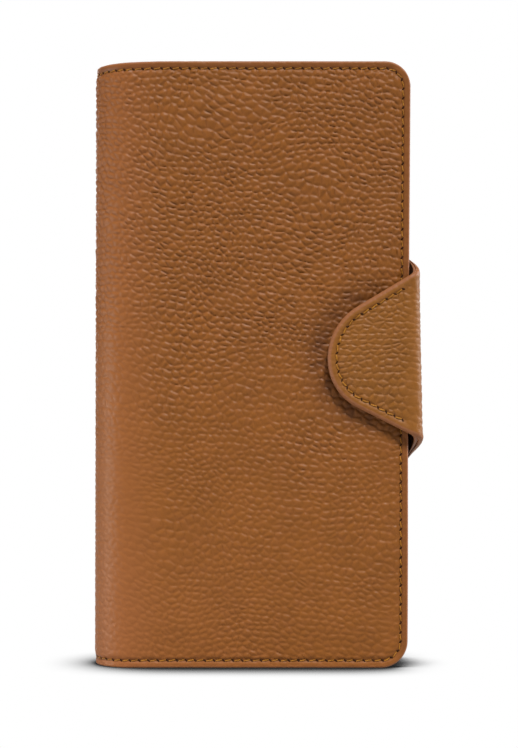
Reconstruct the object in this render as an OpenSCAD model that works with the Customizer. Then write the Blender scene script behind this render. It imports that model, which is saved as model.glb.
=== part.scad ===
// Long wallet, closed, standing upright on its short side. Millimetres, +Z up.
// The front cover faces -Y, the spine is at -X and the opening edge at +X.
// The origin is at the middle of the base of the whole object's box.

/* [Body] */
// Height of the covers
body_h = 190; // [170:1:210]
// Width of the covers, from the spine to the opening edge
body_w = 99; // [92:1:110]
// Thickness of the closed wallet, which is also the diameter of the spine's fold
body_t = 24; // [24:0.5:28]
// Radius of the upper corner at the opening edge
corner_top_r = 8; // [4:0.5:12]
// Radius of the lower corner at the opening edge
corner_low_r = 9; // [4:0.5:12]

/* [Layers] */
// Thickness of the outer leather
leather_t = 1.4; // [1:0.1:1.6]
// Thickness of the soft padding under the front leather
padding_t = 1.2; // [0.8:0.1:1.2]
// Thickness of the stiffener boards
board_t = 0.9; // [0.6:0.1:0.9]
// Thickness of the linings
lining_t = 0.5; // [0.3:0.1:0.5]
// Thickness of one card pocket and of the bill wall
pocket_t = 0.7; // [0.5:0.1:0.7]
// Thickness of the coin pocket's leather and of the gussets
wall_t = 0.8; // [0.6:0.1:0.8]

/* [Pockets] */
// Clear depth of the bill compartment
bill_gap = 4.4; // [4.2:0.1:4.6]
// Distance between the mouths of two card pockets
card_step = 11; // [8:1:12]
// Distance from the opening edge to the highest card pocket's mouth
card_inset = 12; // [11:1:16]
// How far the coin pocket stands back from the top and bottom edges
coin_inset = 4.5; // [3:0.5:8]

/* [Strap] */
// Height of the strap's middle above the base
strap_z = 97.5; // [80:0.5:110]
// Length of the tab, from its tip to the opening edge of the covers
tab_l = 25.5; // [22:0.5:30]
// Radius of the tab's tip
tab_tip_r = 18; // [14:0.5:20]
// Angle at which the tab's sides spread from its tip
tab_spread = 29; // [20:1:34]
// Length of the strap's root that is sewn on the back cover
root_l = 28; // [20:1:34]
// How far the strap's side stands proud of the covers' edges, which is also the radius of its bends
strap_proud = 4; // [3.8:0.1:6]
// Thickness of the strap's leather
strap_leather_t = 1.4; // [1:0.1:1.6]
// Thickness of the strap's lining
strap_lining_t = 0.8; // [0.6:0.1:1]
// Gap between the front cover and the closed tab
tab_gap = 0.9; // [0.8:0.1:1.2]

/* [Stitching] */
// Distance from one stitch to the next
stitch_pitch = 3; // [2.5:0.1:4]
// Distance from the edge of the leather to the thread
stitch_inset = 2.3; // [2:0.1:3]

/* [Zip] */
// Width of the meshed teeth
chain_w = 3.8; // [3.4:0.1:4]
// Distance between two teeth of the same tape
tooth_pitch = 1.6; // [1.5:0.1:2]
// Length of the slider
slider_l = 8.5; // [8:0.1:9.5]
// Length of the pull, below its bar
pull_l = 24; // [18:1:26]

/* [Hidden] */
$fn = 64;

// Colours
tan_leather = [0.59, 0.38, 0.2];
tab_tan = [0.62, 0.41, 0.21];
lining_brown = [0.35, 0.21, 0.12];
thread_gold = [0.72, 0.52, 0.2];
board_grey = [0.7, 0.66, 0.6];
metal_gold = [0.78, 0.62, 0.36];

// The body's own axes have x = 0 in the middle of the covers' width and y = 0 in the middle
// of their thickness; placed() moves them to the object's origin.
edge_x = body_w / 2;
half_t = body_t / 2;
fold_x = -edge_x + half_t;
thread_t = 0.3;
strap_t = strap_leather_t + strap_lining_t;
strap_out_x = edge_x + strap_proud;
strap_front_y = half_t + tab_gap + strap_t;
strap_back_y = half_t + strap_t;
shift_x = -(strap_proud - thread_t) / 2;
shift_y = (strap_front_y - strap_back_y) / 2;
module placed() { translate([shift_x, shift_y, 0]) children(); }

// Stack of the front cover, from its outer face inwards
front_pad_y = -half_t + leather_t;
front_board_y = front_pad_y + padding_t;
front_lining_y = front_board_y + board_t;
front_pocket_y = front_lining_y + lining_t;
card_rows = 3;
front_inner_y = front_pocket_y + card_rows * pocket_t;

// Stack of the back cover, from its outer face inwards
back_board_y = half_t - leather_t;
back_lining_y = back_board_y - board_t;
bill_y = back_lining_y - lining_t;
bill_wall_y = bill_y - bill_gap;
back_pocket_y = bill_wall_y - pocket_t;
back_inner_y = back_pocket_y - card_rows * pocket_t;

// The coin pocket fills what is left between the covers, with a gap on each side
page_gap = 0.4;
page_y0 = front_inner_y + page_gap;
page_y1 = back_inner_y - page_gap;
page_y = (page_y0 + page_y1) / 2;

// Insets from the covers' outline
board_inset = 2;
lining_inset = 0.6;
padding_inset = 5;
pocket_inset = 3;

// --- helpers -------------------------------------------------------------------------------

// Extrudes a shape drawn in X and Z from y0 to y1
module panel(y0, y1) {
    translate([0, y1, 0]) rotate([90, 0, 0]) linear_extrude(y1 - y0) children();
}

// What is cut off a square corner to round it: dir_z is 1 for an upper corner, -1 for a lower one
module corner_cut(x, z, r, dir_z) {
    extra = 1;
    translate([x - r, z - dir_z * r]) mirror([0, dir_z > 0 ? 0 : 1]) difference() {
        square(r + extra);
        circle(r);
    }
}

// A plate's outline from x0 to x1 and z0 to z1, with its two corners at x1 rounded
module plate_outline(x0, x1, z0, z1, top_r, low_r) {
    difference() {
        translate([x0, z0]) square([x1 - x0, z1 - z0]);
        corner_cut(x1, z1, top_r, 1);
        corner_cut(x1, z0, low_r, -1);
    }
}

// A cover's outline from x0 to the opening edge, set in from the covers' edge
module cover_outline(x0, inset) {
    plate_outline(x0, edge_x - inset, inset, body_h - inset, corner_top_r - inset, corner_low_r - inset);
}

// A ring's sector in X and Y, between two angles less than 180 degrees apart
module ring_sector(r_in, r_out, a0, a1) {
    reach = 3 * r_out;
    mid = (a0 + a1) / 2;
    intersection() {
        difference() {
            circle(r_out);
            circle(r_in);
        }
        polygon([[0, 0], for (a = [a0, mid, a1]) reach * [cos(a), sin(a)]]);
    }
}

// One stitch: a short flat bar along its own x, on the face y = 0, standing out towards -Y
module stitch(length) {
    width = 0.5;
    translate([-length / 2, -thread_t, -width / 2]) cube([length, thread_t, width]);
}

stitch_l = stitch_pitch * 0.75;

// --- covers --------------------------------------------------------------------------------

// The spine is a half ring of leather, cut into pieces at four folds that open 45 degrees each.
// Its angle runs from 0 at the back cover to 180 at the front cover.
fold_a = 45;
fold_rad = fold_a / 2 * PI / 180;
fold_r = (half_t - leather_t / 2) * (1 / cos(fold_a / 2) - (tan(fold_a / 2) - fold_rad) / sin(fold_a / 2));
fold_slit = 0.35 / fold_r * 180 / PI;

// A part of the spine between two angles, in X and Y
module spine_section(r_out, t, a0, a1) {
    translate([fold_x, 0]) ring_sector(r_out - t, r_out, 90 + a0, 90 + a1);
}

// The piece of the spine between two folds, all the way up
module spine_piece(r_out, t, first_fold) {
    a0 = fold_a * (first_fold - 0.5) + fold_slit;
    placed() linear_extrude(body_h) spine_section(r_out, t, a0, a0 + fold_a - 2 * fold_slit);
}

module cover_corners() {
    depth = 2 * body_t;
    panel(-depth, depth) {
        corner_cut(edge_x, body_h, corner_top_r, 1);
        corner_cut(edge_x, 0, corner_low_r, -1);
    }
}

module cover_leather(y0, a0, a1) {
    difference() {
        linear_extrude(body_h) union() {
            spine_section(half_t, leather_t, a0, a1);
            translate([fold_x - 0.01, y0]) square([edge_x - fold_x + 0.01, leather_t]);
        }
        cover_corners();
    }
}

module back_leather() {
    color(tan_leather) placed() cover_leather(back_board_y, 0, fold_a / 2 - fold_slit);
}

module back_board() {
    color(board_grey) placed() panel(back_lining_y, back_board_y) cover_outline(fold_x, board_inset);
}

module back_lining() {
    color(lining_brown) placed() panel(bill_y, back_lining_y) cover_outline(fold_x, lining_inset);
}

module front_leather() {
    color(tan_leather) placed() difference() {
        cover_leather(-half_t, 180 - fold_a / 2 + fold_slit, 180);
        snap_disc(-half_t - 1, front_pad_y + 1, socket_r + 0.1);
    }
}

module front_padding() {
    color("ivory") placed() difference() {
        panel(front_pad_y, front_board_y) cover_outline(fold_x, padding_inset);
        snap_disc(front_pad_y - 1, front_board_y + 1, socket_r + 0.1);
        snap_disc(front_board_y - washer_t, front_board_y + 1, washer_r + 0.1);
    }
}

module front_board() {
    color(board_grey) placed() panel(front_board_y, front_lining_y) cover_outline(fold_x, board_inset);
}

module front_lining() {
    color(lining_brown) placed() panel(front_lining_y, front_pocket_y) cover_outline(fold_x, lining_inset);
}

// --- spine ---------------------------------------------------------------------------------

module spine_leather_back() { color(tan_leather) spine_piece(half_t, leather_t, 1); }
module spine_leather_mid() { color(tan_leather) spine_piece(half_t, leather_t, 2); }
module spine_leather_front() { color(tan_leather) spine_piece(half_t, leather_t, 3); }
module spine_lining_back() { color(lining_brown) spine_piece(back_lining_y, lining_t, 1); }
module spine_lining_mid() { color(lining_brown) spine_piece(back_lining_y, lining_t, 2); }
module spine_lining_front() { color(lining_brown) spine_piece(back_lining_y, lining_t, 3); }

// --- card pockets and bill compartment -------------------------------------------------------

pocket_x0 = fold_x + 3;
card_corner_r = 3;

// The outline of card pocket row, counted from the shortest one, which lies on top
module card_outline(row) {
    x1 = edge_x - card_inset - (card_rows - row) * card_step;
    plate_outline(pocket_x0, x1, pocket_inset, body_h - pocket_inset, card_corner_r, card_corner_r);
}

module back_card_pocket(row) {
    y0 = back_inner_y + (row - 1) * pocket_t;
    color(tan_leather) placed() panel(y0, y0 + pocket_t) card_outline(row);
}

module front_card_pocket(row) {
    y0 = front_inner_y - row * pocket_t;
    color(tan_leather) placed() panel(y0, y0 + pocket_t) card_outline(row);
}

module back_card_pocket_1() { back_card_pocket(1); }
module back_card_pocket_2() { back_card_pocket(2); }
module back_card_pocket_3() { back_card_pocket(3); }
module front_card_pocket_1() { front_card_pocket(1); }
module front_card_pocket_2() { front_card_pocket(2); }
module front_card_pocket_3() { front_card_pocket(3); }

bill_x1 = edge_x - 4.5;
bill_corner_r = 6;
gusset_x1 = bill_x1 - bill_corner_r;

module bill_wall() {
    color(tan_leather) placed() panel(back_pocket_y, bill_wall_y)
        plate_outline(pocket_x0, bill_x1, pocket_inset, body_h - pocket_inset, bill_corner_r, bill_corner_r);
}

// A strip between the bill wall and the back lining
module bill_gusset(x0, x1, z0, z1) {
    color(tan_leather) placed() panel(bill_wall_y, bill_y) translate([x0, z0]) square([x1 - x0, z1 - z0]);
}

module bill_gusset_top() {
    bill_gusset(pocket_x0, gusset_x1, body_h - pocket_inset - wall_t, body_h - pocket_inset);
}
module bill_gusset_bottom() { bill_gusset(pocket_x0, gusset_x1, pocket_inset, pocket_inset + wall_t); }
module bill_gusset_spine() {
    bill_gusset(pocket_x0, pocket_x0 + wall_t, pocket_inset + wall_t, body_h - pocket_inset - wall_t);
}

// --- coin pocket -----------------------------------------------------------------------------

coin_x0 = fold_x + 7;
coin_x1 = edge_x - 8;
coin_z0 = coin_inset;
coin_z1 = body_h - coin_inset;
coin_corner_r = 3;

module coin_wall(y0) {
    color(tan_leather) placed() panel(y0, y0 + wall_t)
        plate_outline(coin_x0, coin_x1, coin_z0, coin_z1, coin_corner_r, coin_corner_r);
}

module coin_wall_front() { coin_wall(page_y0); }
module coin_wall_back() { coin_wall(page_y1 - wall_t); }

module coin_gusset(z0) {
    x1 = coin_x1 - coin_corner_r;
    color(lining_brown) placed() translate([coin_x0, page_y0 + wall_t, z0])
        cube([x1 - coin_x0, page_y1 - page_y0 - 2 * wall_t, wall_t]);
}

module coin_gusset_top() { coin_gusset(coin_z1 - 2 * wall_t); }
module coin_gusset_bottom() { coin_gusset(coin_z0 + wall_t); }

// The closed side of the coin pocket and the web that is sewn into the middle of the spine
module coin_fold() {
    web_x0 = fold_x - sqrt(pow(bill_y, 2) - pow(abs(page_y) + wall_t, 2));
    color(tan_leather) placed() translate([0, 0, coin_z0]) linear_extrude(coin_z1 - coin_z0) union() {
        translate([web_x0, page_y - wall_t]) square([coin_x0 - web_x0, 2 * wall_t]);
        translate([coin_x0 - wall_t, page_y0]) square([wall_t, page_y1 - page_y0]);
    }
}

// --- zip ---------------------------------------------------------------------------------------

tape_t = 0.6;
tape_x = coin_x1 - 0.8;
teeth_x = tape_x + tape_t + 0.1;
teeth_t = 1.6;
zip_z0 = coin_z0 + coin_corner_r;
zip_z1 = coin_z1 - coin_corner_r;
slider_z1 = zip_z1 - 2.5;
slider_z0 = slider_z1 - slider_l;
post_l = 2.3;
tape_slit = 0.9;

module zip_tape(y0, y1) {
    color(lining_brown) placed() translate([tape_x, y0, zip_z0]) cube([tape_t, y1 - y0, zip_z1 - zip_z0]);
}

module zip_tape_front() { zip_tape(page_y0 + wall_t, page_y - tape_slit); }
module zip_tape_back() { zip_tape(page_y + tape_slit, page_y1 - wall_t); }

// The teeth of the two tapes, which alternate and mesh past the middle
module zip_teeth() {
    first_z = zip_z0 + 3;
    last_z = slider_z1 - post_l - 1;
    tooth_t = tooth_pitch / 2 - 0.1;
    mesh = 0.8;
    count = floor((last_z - first_z) / tooth_pitch);
    color(metal_gold) placed() for (i = [0:count - 1]) {
        translate([teeth_x, page_y - chain_w / 2, first_z + i * tooth_pitch])
            cube([teeth_t, chain_w / 2 + mesh, tooth_t]);
        translate([teeth_x, page_y - mesh, first_z + (i + 0.5) * tooth_pitch])
            cube([teeth_t, chain_w / 2 + mesh, tooth_t]);
    }
}

module zip_stops() {
    stop_l = 1.6;
    color(metal_gold) placed() {
        translate([teeth_x, page_y - chain_w / 2, zip_z0 + 0.4]) cube([teeth_t, chain_w, stop_l]);
        for (y = [page_y - chain_w / 2, page_y + tape_slit])
            translate([teeth_x, y, slider_z1 + 0.4]) cube([teeth_t, chain_w / 2 - tape_slit, stop_l]);
    }
}

// The slider: an inner and an outer plate joined by a post, with lips on the outer plate and a
// bridge that holds the pull's bar
plate_t = 0.8;
slider_x = teeth_x + teeth_t + 0.5;
bar_x = slider_x + plate_t + 1.3;
bar_z = (slider_z0 + slider_z1) / 2 + 0.3;
bar_r = 0.7;
bar_hole_r = 0.8;

module zip_slider() {
    inner_w = 4.8;
    outer_w = 6;
    lip_t = 0.7;
    post_w = 1.2;
    bridge_w = 1.6;
    bridge_l = 4;
    bridge_h = 2.6;
    inner_x = tape_x - 0.6 - plate_t;
    color(metal_gold) placed() difference() {
        union() {
            translate([inner_x, page_y - inner_w / 2, slider_z0]) cube([plate_t, inner_w, slider_l]);
            translate([slider_x, page_y - outer_w / 2, slider_z0]) cube([plate_t, outer_w, slider_l]);
            for (y = [page_y - outer_w / 2, page_y + outer_w / 2 - lip_t])
                translate([coin_x1 + 0.4, y, slider_z0]) cube([slider_x - coin_x1, lip_t, slider_l]);
            translate([inner_x, page_y - post_w / 2, slider_z1 - post_l])
                cube([slider_x - inner_x + plate_t / 2, post_w, post_l]);
            translate([slider_x, page_y - bridge_w / 2, bar_z - bridge_l / 2])
                cube([plate_t + bridge_h, bridge_w, bridge_l]);
        }
        translate([bar_x, page_y + bridge_w, bar_z]) rotate([90, 0, 0]) cylinder(r = bar_hole_r, h = 2 * bridge_w);
    }
}

module zip_pull() {
    cheek_y = 1.1;
    cheek_t = 0.8;
    cheek_r = 0.9;
    neck_z = 3.6;
    width = 4.8;
    t = 1.2;
    hole_r = 1.4;
    tip_z = pull_l - width / 2;
    color(metal_gold) placed() translate([bar_x, page_y, bar_z]) {
        rotate([90, 0, 0]) cylinder(r = bar_r, h = 2 * cheek_y + cheek_t, center = true);
        for (side = [-1, 1]) translate([0, side * (cheek_y + cheek_t / 2), 0]) {
            rotate([90, 0, 0]) cylinder(r = cheek_r, h = cheek_t, center = true);
            translate([-t / 2, -cheek_t / 2, -neck_z - 0.5]) cube([t, cheek_t, neck_z + 0.5]);
        }
        difference() {
            union() {
                translate([-t / 2, -width / 2, -tip_z]) cube([t, width, tip_z - neck_z]);
                translate([0, 0, -tip_z]) rotate([0, 90, 0]) cylinder(r = width / 2, h = t, center = true);
            }
            translate([0, 0, -tip_z]) rotate([0, 90, 0]) cylinder(r = hole_r, h = 2 * t, center = true);
        }
    }
}

// --- strap ---------------------------------------------------------------------------------------

// The strap is drawn flat, along its own length s from the tab's tip (s = 0) to the end of its
// root, and then laid round the covers: tab, front bend, side, back bend and root. Both bends
// start at the covers' edges.
bend_r = strap_proud;
bend_mean_r = bend_r - strap_t / 2;
bend_l = bend_mean_r * PI / 2;
bend_front_y = -strap_front_y + bend_r;
bend_back_y = strap_back_y - bend_r;
tip_x = edge_x - tab_l;
side_s = tab_l + bend_l;
side_l = bend_back_y - bend_front_y;
root_s = side_s + side_l + bend_l;
strap_l = root_s + root_l;
root_corner_r = 8;

// The sides leave the tip's circle at the spread angle, run straight, and then turn parallel
// along a wide arc that ends where the root starts
tangent_s = tab_tip_r * (1 - sin(tab_spread));
straight_s = tab_l + 1.5;
flare_r = (root_s - straight_s) / sin(tab_spread);
straight_w = tab_tip_r * cos(tab_spread) + (straight_s - tangent_s) * tan(tab_spread);
root_w = straight_w + flare_r * (1 - cos(tab_spread));

// Half of the strap's width at s, past the tip's circle
function half_width(s) =
    s < straight_s ? tab_tip_r * cos(tab_spread) + (s - tangent_s) * tan(tab_spread)
    : s < root_s ? root_w - flare_r + sqrt(pow(flare_r, 2) - pow(root_s - s, 2))
    : root_w;

// The flat strap's outline between s0 and s1, with its middle at z = 0
module strap_outline(s0, s1) {
    steps = 24;
    side = [for (i = [0:steps]) let (s = tangent_s + (strap_l - tangent_s) * i / steps) [s, half_width(s)]];
    other = [for (i = [steps:-1:0]) [side[i][0], -side[i][1]]];
    intersection() {
        difference() {
            union() {
                translate([tab_tip_r, 0]) circle(tab_tip_r);
                polygon(concat(side, other));
            }
            corner_cut(strap_l, root_w, root_corner_r, 1);
            corner_cut(strap_l, -root_w, root_corner_r, -1);
        }
        translate([s0, -body_h / 2]) square([s1 - s0, body_h]);
    }
}

// A piece of one of the two bends: a ring's sector, as wide as the strap is there
module strap_bend(y, r_in, r_out, a0, a1, s) {
    w = half_width(s);
    translate([edge_x, y, strap_z - w]) linear_extrude(2 * w) ring_sector(r_in, r_out, a0, a1);
}

// Each bend opens at its middle, where a slit leaves room for the fold
bend_fold_r = bend_mean_r * PI / 4 * sqrt(2);
bend_slit = 0.7 / bend_fold_r * 180 / PI;
lining_in_r = bend_r - strap_t;
lining_out_r = bend_r - strap_leather_t;

module tab_layer(y0, y1, r_in, r_out) {
    placed() union() {
        panel(y0, y1) translate([tip_x, strap_z]) strap_outline(0, tab_l + 0.01);
        strap_bend(bend_front_y, r_in, r_out, -90, -45 - bend_slit, tab_l + bend_l / 4);
    }
}

module side_layer(x0, x1, r_in, r_out) {
    placed() union() {
        translate([x0, bend_front_y - side_s, strap_z]) rotate([90, 0, 90]) linear_extrude(x1 - x0)
            strap_outline(side_s - 0.01, side_s + side_l + 0.01);
        strap_bend(bend_front_y, r_in, r_out, -45 + bend_slit, 0, side_s - bend_l / 4);
        strap_bend(bend_back_y, r_in, r_out, 0, 45 - bend_slit, side_s + side_l + bend_l / 4);
    }
}

module root_layer(y0, y1, r_in, r_out) {
    placed() union() {
        panel(y0, y1) translate([edge_x + root_s, strap_z]) mirror([1, 0]) strap_outline(root_s - 0.01, strap_l);
        strap_bend(bend_back_y, r_in, r_out, 45 + bend_slit, 90, root_s - bend_l / 4);
    }
}

module strap_root_leather() {
    color(tab_tan) root_layer(half_t + strap_lining_t, strap_back_y, lining_out_r, bend_r);
}
module strap_root_lining() {
    color(lining_brown) root_layer(half_t, half_t + strap_lining_t, lining_in_r, lining_out_r);
}
module strap_side_leather() {
    color(tab_tan) side_layer(strap_out_x - strap_leather_t, strap_out_x, lining_out_r, bend_r);
}
module strap_side_lining() {
    color(lining_brown)
        side_layer(strap_out_x - strap_t, strap_out_x - strap_leather_t, lining_in_r, lining_out_r);
}
module tab_leather() {
    color(tab_tan) tab_layer(-strap_front_y, -strap_front_y + strap_leather_t, lining_out_r, bend_r);
}
module tab_lining() {
    color(lining_brown) difference() {
        tab_layer(-strap_front_y + strap_leather_t, -strap_front_y + strap_t, lining_in_r, lining_out_r);
        placed() snap_disc(-strap_front_y, -half_t, stud_base_r + 0.1);
    }
}

// --- snap ------------------------------------------------------------------------------------------

snap_x = edge_x - 13;
socket_r = 5;
socket_flange_r = 6;
socket_flange_t = 0.5;
socket_in_r = 3.8;
socket_depth = 2.2;
magnet_t = 0.9;
magnet_r = 3.7;
washer_r = 8;
washer_t = 0.4;
stud_r = 2.3;
stud_l = 1.3;
stud_base_r = 5;
stud_base_t = strap_lining_t / 2;

// A disc about the snap's axis, from y0 to y1, which also cuts the holes that the snap needs
module snap_disc(y0, y1, r) {
    translate([snap_x, y1, strap_z]) rotate([90, 0, 0]) cylinder(r = r, h = y1 - y0);
}

module snap_socket() {
    floor_y = -half_t + socket_depth;
    color(metal_gold) placed() difference() {
        union() {
            snap_disc(-half_t - socket_flange_t, -half_t, socket_flange_r);
            snap_disc(-half_t - socket_flange_t, floor_y, socket_r);
        }
        snap_disc(-half_t - 1, floor_y + 1, socket_in_r);
    }
}

module snap_magnet() {
    floor_y = -half_t + socket_depth;
    color("dimgray") placed() snap_disc(floor_y - magnet_t, floor_y, magnet_r);
}

module snap_washer() {
    color(metal_gold) placed() snap_disc(front_board_y - washer_t, front_board_y, washer_r);
}

module snap_stud() {
    face_y = -half_t - tab_gap;
    color(metal_gold) placed() union() {
        snap_disc(face_y - stud_base_t, face_y, stud_base_r);
        snap_disc(face_y - stud_base_t, face_y + stud_l, stud_r);
    }
}

// --- stitching ---------------------------------------------------------------------------------------

// The seam's line along the top, right and bottom edges, as [x, z, direction] at a length along it
seam_x0 = fold_x + 1;
seam_x1 = edge_x - stitch_inset;
seam_z1 = body_h - stitch_inset;
seam_top_r = corner_top_r - stitch_inset;
seam_low_r = corner_low_r - stitch_inset;
seam_top_l = seam_x1 - seam_top_r - seam_x0;
seam_top_arc = seam_top_r * PI / 2;
seam_side_l = seam_z1 - seam_top_r - seam_low_r - stitch_inset;
seam_low_arc = seam_low_r * PI / 2;
seam_low_l = seam_x1 - seam_low_r - seam_x0;
seam_side_s = seam_top_l + seam_top_arc;
seam_low_s = seam_side_s + seam_side_l;
seam_bottom_s = seam_low_s + seam_low_arc;
seam_l = seam_bottom_s + seam_low_l;

function seam(s) =
    s < seam_top_l ? [seam_x0 + s, seam_z1, 0]
    : s < seam_side_s ? let (a = 90 * (s - seam_top_l) / seam_top_arc)
        [seam_x1 - seam_top_r * (1 - sin(a)), seam_z1 - seam_top_r * (1 - cos(a)), a]
    : s < seam_low_s ? [seam_x1, seam_z1 - seam_top_r - (s - seam_side_s), 90]
    : s < seam_bottom_s ? let (a = 90 * (s - seam_low_s) / seam_low_arc)
        [seam_x1 - seam_low_r * (1 - cos(a)), stitch_inset + seam_low_r * (1 - sin(a)), 90 + a]
    : [seam_x1 - seam_low_r - (s - seam_bottom_s), stitch_inset, 180];

// A row of stitches along the seam, without those between the heights skip_z0 and skip_z1
module seam_stitches(skip_z0, skip_z1) {
    count = floor(seam_l / stitch_pitch);
    for (i = [0:count - 1]) {
        at = seam((i + 0.5) * stitch_pitch);
        on_side = at[0] > seam_x1 - 0.1;
        if (!(on_side && at[1] > skip_z0 && at[1] < skip_z1))
            translate([at[0], 0, at[1]]) rotate([0, at[2], 0]) stitch(stitch_l);
    }
}

// The seam's stitches round the spine, three to a fold, from the first angle to the last
module spine_stitches(a0, a1) {
    for (a = [a0:fold_a / 3:a1], z = [stitch_inset, seam_z1])
        translate([fold_x, 0, z]) rotate([0, 0, a]) translate([0, half_t + thread_t, 0]) stitch(stitch_l);
}

module front_stitching() {
    color(thread_gold) placed() {
        translate([0, -half_t, 0]) seam_stitches(0, 0);
        spine_stitches(165, 180);
    }
}

module back_stitching() {
    clear = 2;
    color(thread_gold) placed() {
        translate([0, half_t + thread_t, 0])
            seam_stitches(strap_z - root_w - clear, strap_z + root_w + clear);
        spine_stitches(0, 15);
    }
}

module spine_stitching_back() { color(thread_gold) placed() spine_stitches(30, 60); }
module spine_stitching_mid() { color(thread_gold) placed() spine_stitches(75, 105); }
module spine_stitching_front() { color(thread_gold) placed() spine_stitches(120, 150); }

// Stitches round the tab's tip and along its spreading sides
module tab_stitching() {
    r = tab_tip_r - stitch_inset - 0.4;
    tip_half = 90 - tab_spread;
    arc_l = r * tip_half * PI / 180;
    side_l = (tab_l - tab_tip_r) / cos(tab_spread) + tab_tip_r * tan(tab_spread) - 3;
    arc_count = floor(arc_l / stitch_pitch);
    side_count = floor(side_l / stitch_pitch);
    tip_x_c = tip_x + tab_tip_r;
    color(thread_gold) placed() translate([0, -strap_front_y, 0]) {
        for (i = [-arc_count:arc_count]) {
            a = i * stitch_pitch / r * 180 / PI;
            translate([tip_x_c - r * cos(a), 0, strap_z + r * sin(a)]) rotate([0, a - 90, 0]) stitch(stitch_l);
        }
        for (side = [-1, 1], i = [0:side_count - 1]) {
            along = (i + 0.9) * stitch_pitch;
            x = tip_x_c - r * sin(tab_spread) + along * cos(tab_spread);
            z = r * cos(tab_spread) + along * sin(tab_spread);
            translate([x, 0, strap_z + side * z]) rotate([0, -side * tab_spread, 0]) stitch(stitch_l);
        }
    }
}

// Stitches round the strap's root on the back cover
module strap_root_stitching() {
    inset = stitch_inset + 0.4;
    end_x = edge_x - root_l + inset;
    half = root_w - inset;
    corner = root_corner_r - inset;
    up_count = floor((half - corner) / stitch_pitch);
    along_count = floor((root_l - root_corner_r - 1) / stitch_pitch);
    color(thread_gold) placed() translate([0, strap_back_y + thread_t, strap_z]) {
        for (i = [-up_count:up_count])
            translate([end_x, 0, i * stitch_pitch]) rotate([0, 90, 0]) stitch(stitch_l);
        for (side = [-1, 1], a = [30, 60]) {
            x = end_x + corner * (1 - cos(a));
            z = half - corner * (1 - sin(a));
            translate([x, 0, side * z]) rotate([0, side * (a - 90), 0]) stitch(stitch_l);
        }
        for (side = [-1, 1], i = [0:along_count - 1])
            translate([end_x + corner + (i + 0.5) * stitch_pitch, 0, side * half]) stitch(stitch_l);
    }
}

back_leather();
back_board();
back_lining();
back_stitching();
bill_gusset_top();
bill_gusset_bottom();
bill_gusset_spine();
bill_wall();
back_card_pocket_1();
back_card_pocket_2();
back_card_pocket_3();
strap_root_leather();
strap_root_lining();
strap_root_stitching();
spine_leather_back();
spine_leather_mid();
spine_leather_front();
spine_lining_back();
spine_lining_mid();
spine_lining_front();
spine_stitching_back();
spine_stitching_mid();
spine_stitching_front();
front_leather();
front_padding();
front_board();
front_lining();
front_stitching();
front_card_pocket_1();
front_card_pocket_2();
front_card_pocket_3();
snap_socket();
snap_magnet();
snap_washer();
coin_fold();
coin_wall_front();
coin_wall_back();
coin_gusset_top();
coin_gusset_bottom();
zip_tape_front();
zip_tape_back();
zip_teeth();
zip_stops();
zip_slider();
zip_pull();
strap_side_leather();
strap_side_lining();
tab_leather();
tab_lining();
tab_stitching();
snap_stud();
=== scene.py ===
"""The looks of a long wallet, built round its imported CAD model. Metres, in the model's own frame."""

import math

import bpy
import numpy as np
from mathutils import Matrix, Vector


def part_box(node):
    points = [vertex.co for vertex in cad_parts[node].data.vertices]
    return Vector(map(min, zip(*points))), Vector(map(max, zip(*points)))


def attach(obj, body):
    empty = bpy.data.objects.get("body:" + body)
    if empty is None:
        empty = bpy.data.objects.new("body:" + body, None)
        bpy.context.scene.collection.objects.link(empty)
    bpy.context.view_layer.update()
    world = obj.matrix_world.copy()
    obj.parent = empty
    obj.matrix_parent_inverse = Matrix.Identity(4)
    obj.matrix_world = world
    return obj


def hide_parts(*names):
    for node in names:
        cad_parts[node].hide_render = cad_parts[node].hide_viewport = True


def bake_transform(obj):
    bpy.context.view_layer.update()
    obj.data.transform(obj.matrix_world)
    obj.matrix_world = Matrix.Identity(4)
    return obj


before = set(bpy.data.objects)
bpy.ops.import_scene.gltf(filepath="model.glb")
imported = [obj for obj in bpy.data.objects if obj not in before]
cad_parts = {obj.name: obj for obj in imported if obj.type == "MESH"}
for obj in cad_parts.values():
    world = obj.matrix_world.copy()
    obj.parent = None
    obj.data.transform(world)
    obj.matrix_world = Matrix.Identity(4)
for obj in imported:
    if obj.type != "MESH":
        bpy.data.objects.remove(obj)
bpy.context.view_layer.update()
MM = 0.001

# --- measures read from the frame ---

FRONT_LOW, FRONT_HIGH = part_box("front_leather")
FRONT_Y, EDGE_X, HEIGHT = FRONT_LOW.y, FRONT_HIGH.x, FRONT_HIGH.z
BACK_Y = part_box("back_leather")[1].y
MID_Y = (FRONT_Y + BACK_Y) / 2
HALF = (BACK_Y - FRONT_Y) / 2
SPINE_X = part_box("spine_leather_mid")[0].x
FOLD_X = SPINE_X + HALF
COVER_L = EDGE_X - FOLD_X
SPINE_L = math.pi * HALF
QUARTER = SPINE_L / 4
LEATHER_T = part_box("front_padding")[0].y - FRONT_Y
LINING_LOW, LINING_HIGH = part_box("front_lining")
LINING_T = LINING_HIGH.y - LINING_LOW.y
FRONT_SINK = LINING_LOW.y - FRONT_Y
BACK_SINK = BACK_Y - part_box("back_lining")[1].y
TIP_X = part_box("tab_leather")[0].x
TAB_FRONT_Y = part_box("tab_leather")[0].y
STRAP_LEATHER_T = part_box("tab_lining")[0].y - TAB_FRONT_Y
STRAP_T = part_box("tab_lining")[1].y - TAB_FRONT_Y
STRAP_OUT_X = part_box("strap_side_leather")[1].x
ROOT_LOW, ROOT_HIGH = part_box("strap_root_leather")
ROOT_BACK_Y, ROOT_X = ROOT_HIGH.y, ROOT_LOW.x
ROOT_W = (ROOT_HIGH.z - ROOT_LOW.z) / 2
STRAP_Z = (ROOT_LOW.z + ROOT_HIGH.z) / 2
SOCKET_LOW, SOCKET_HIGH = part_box("snap_socket")
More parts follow.
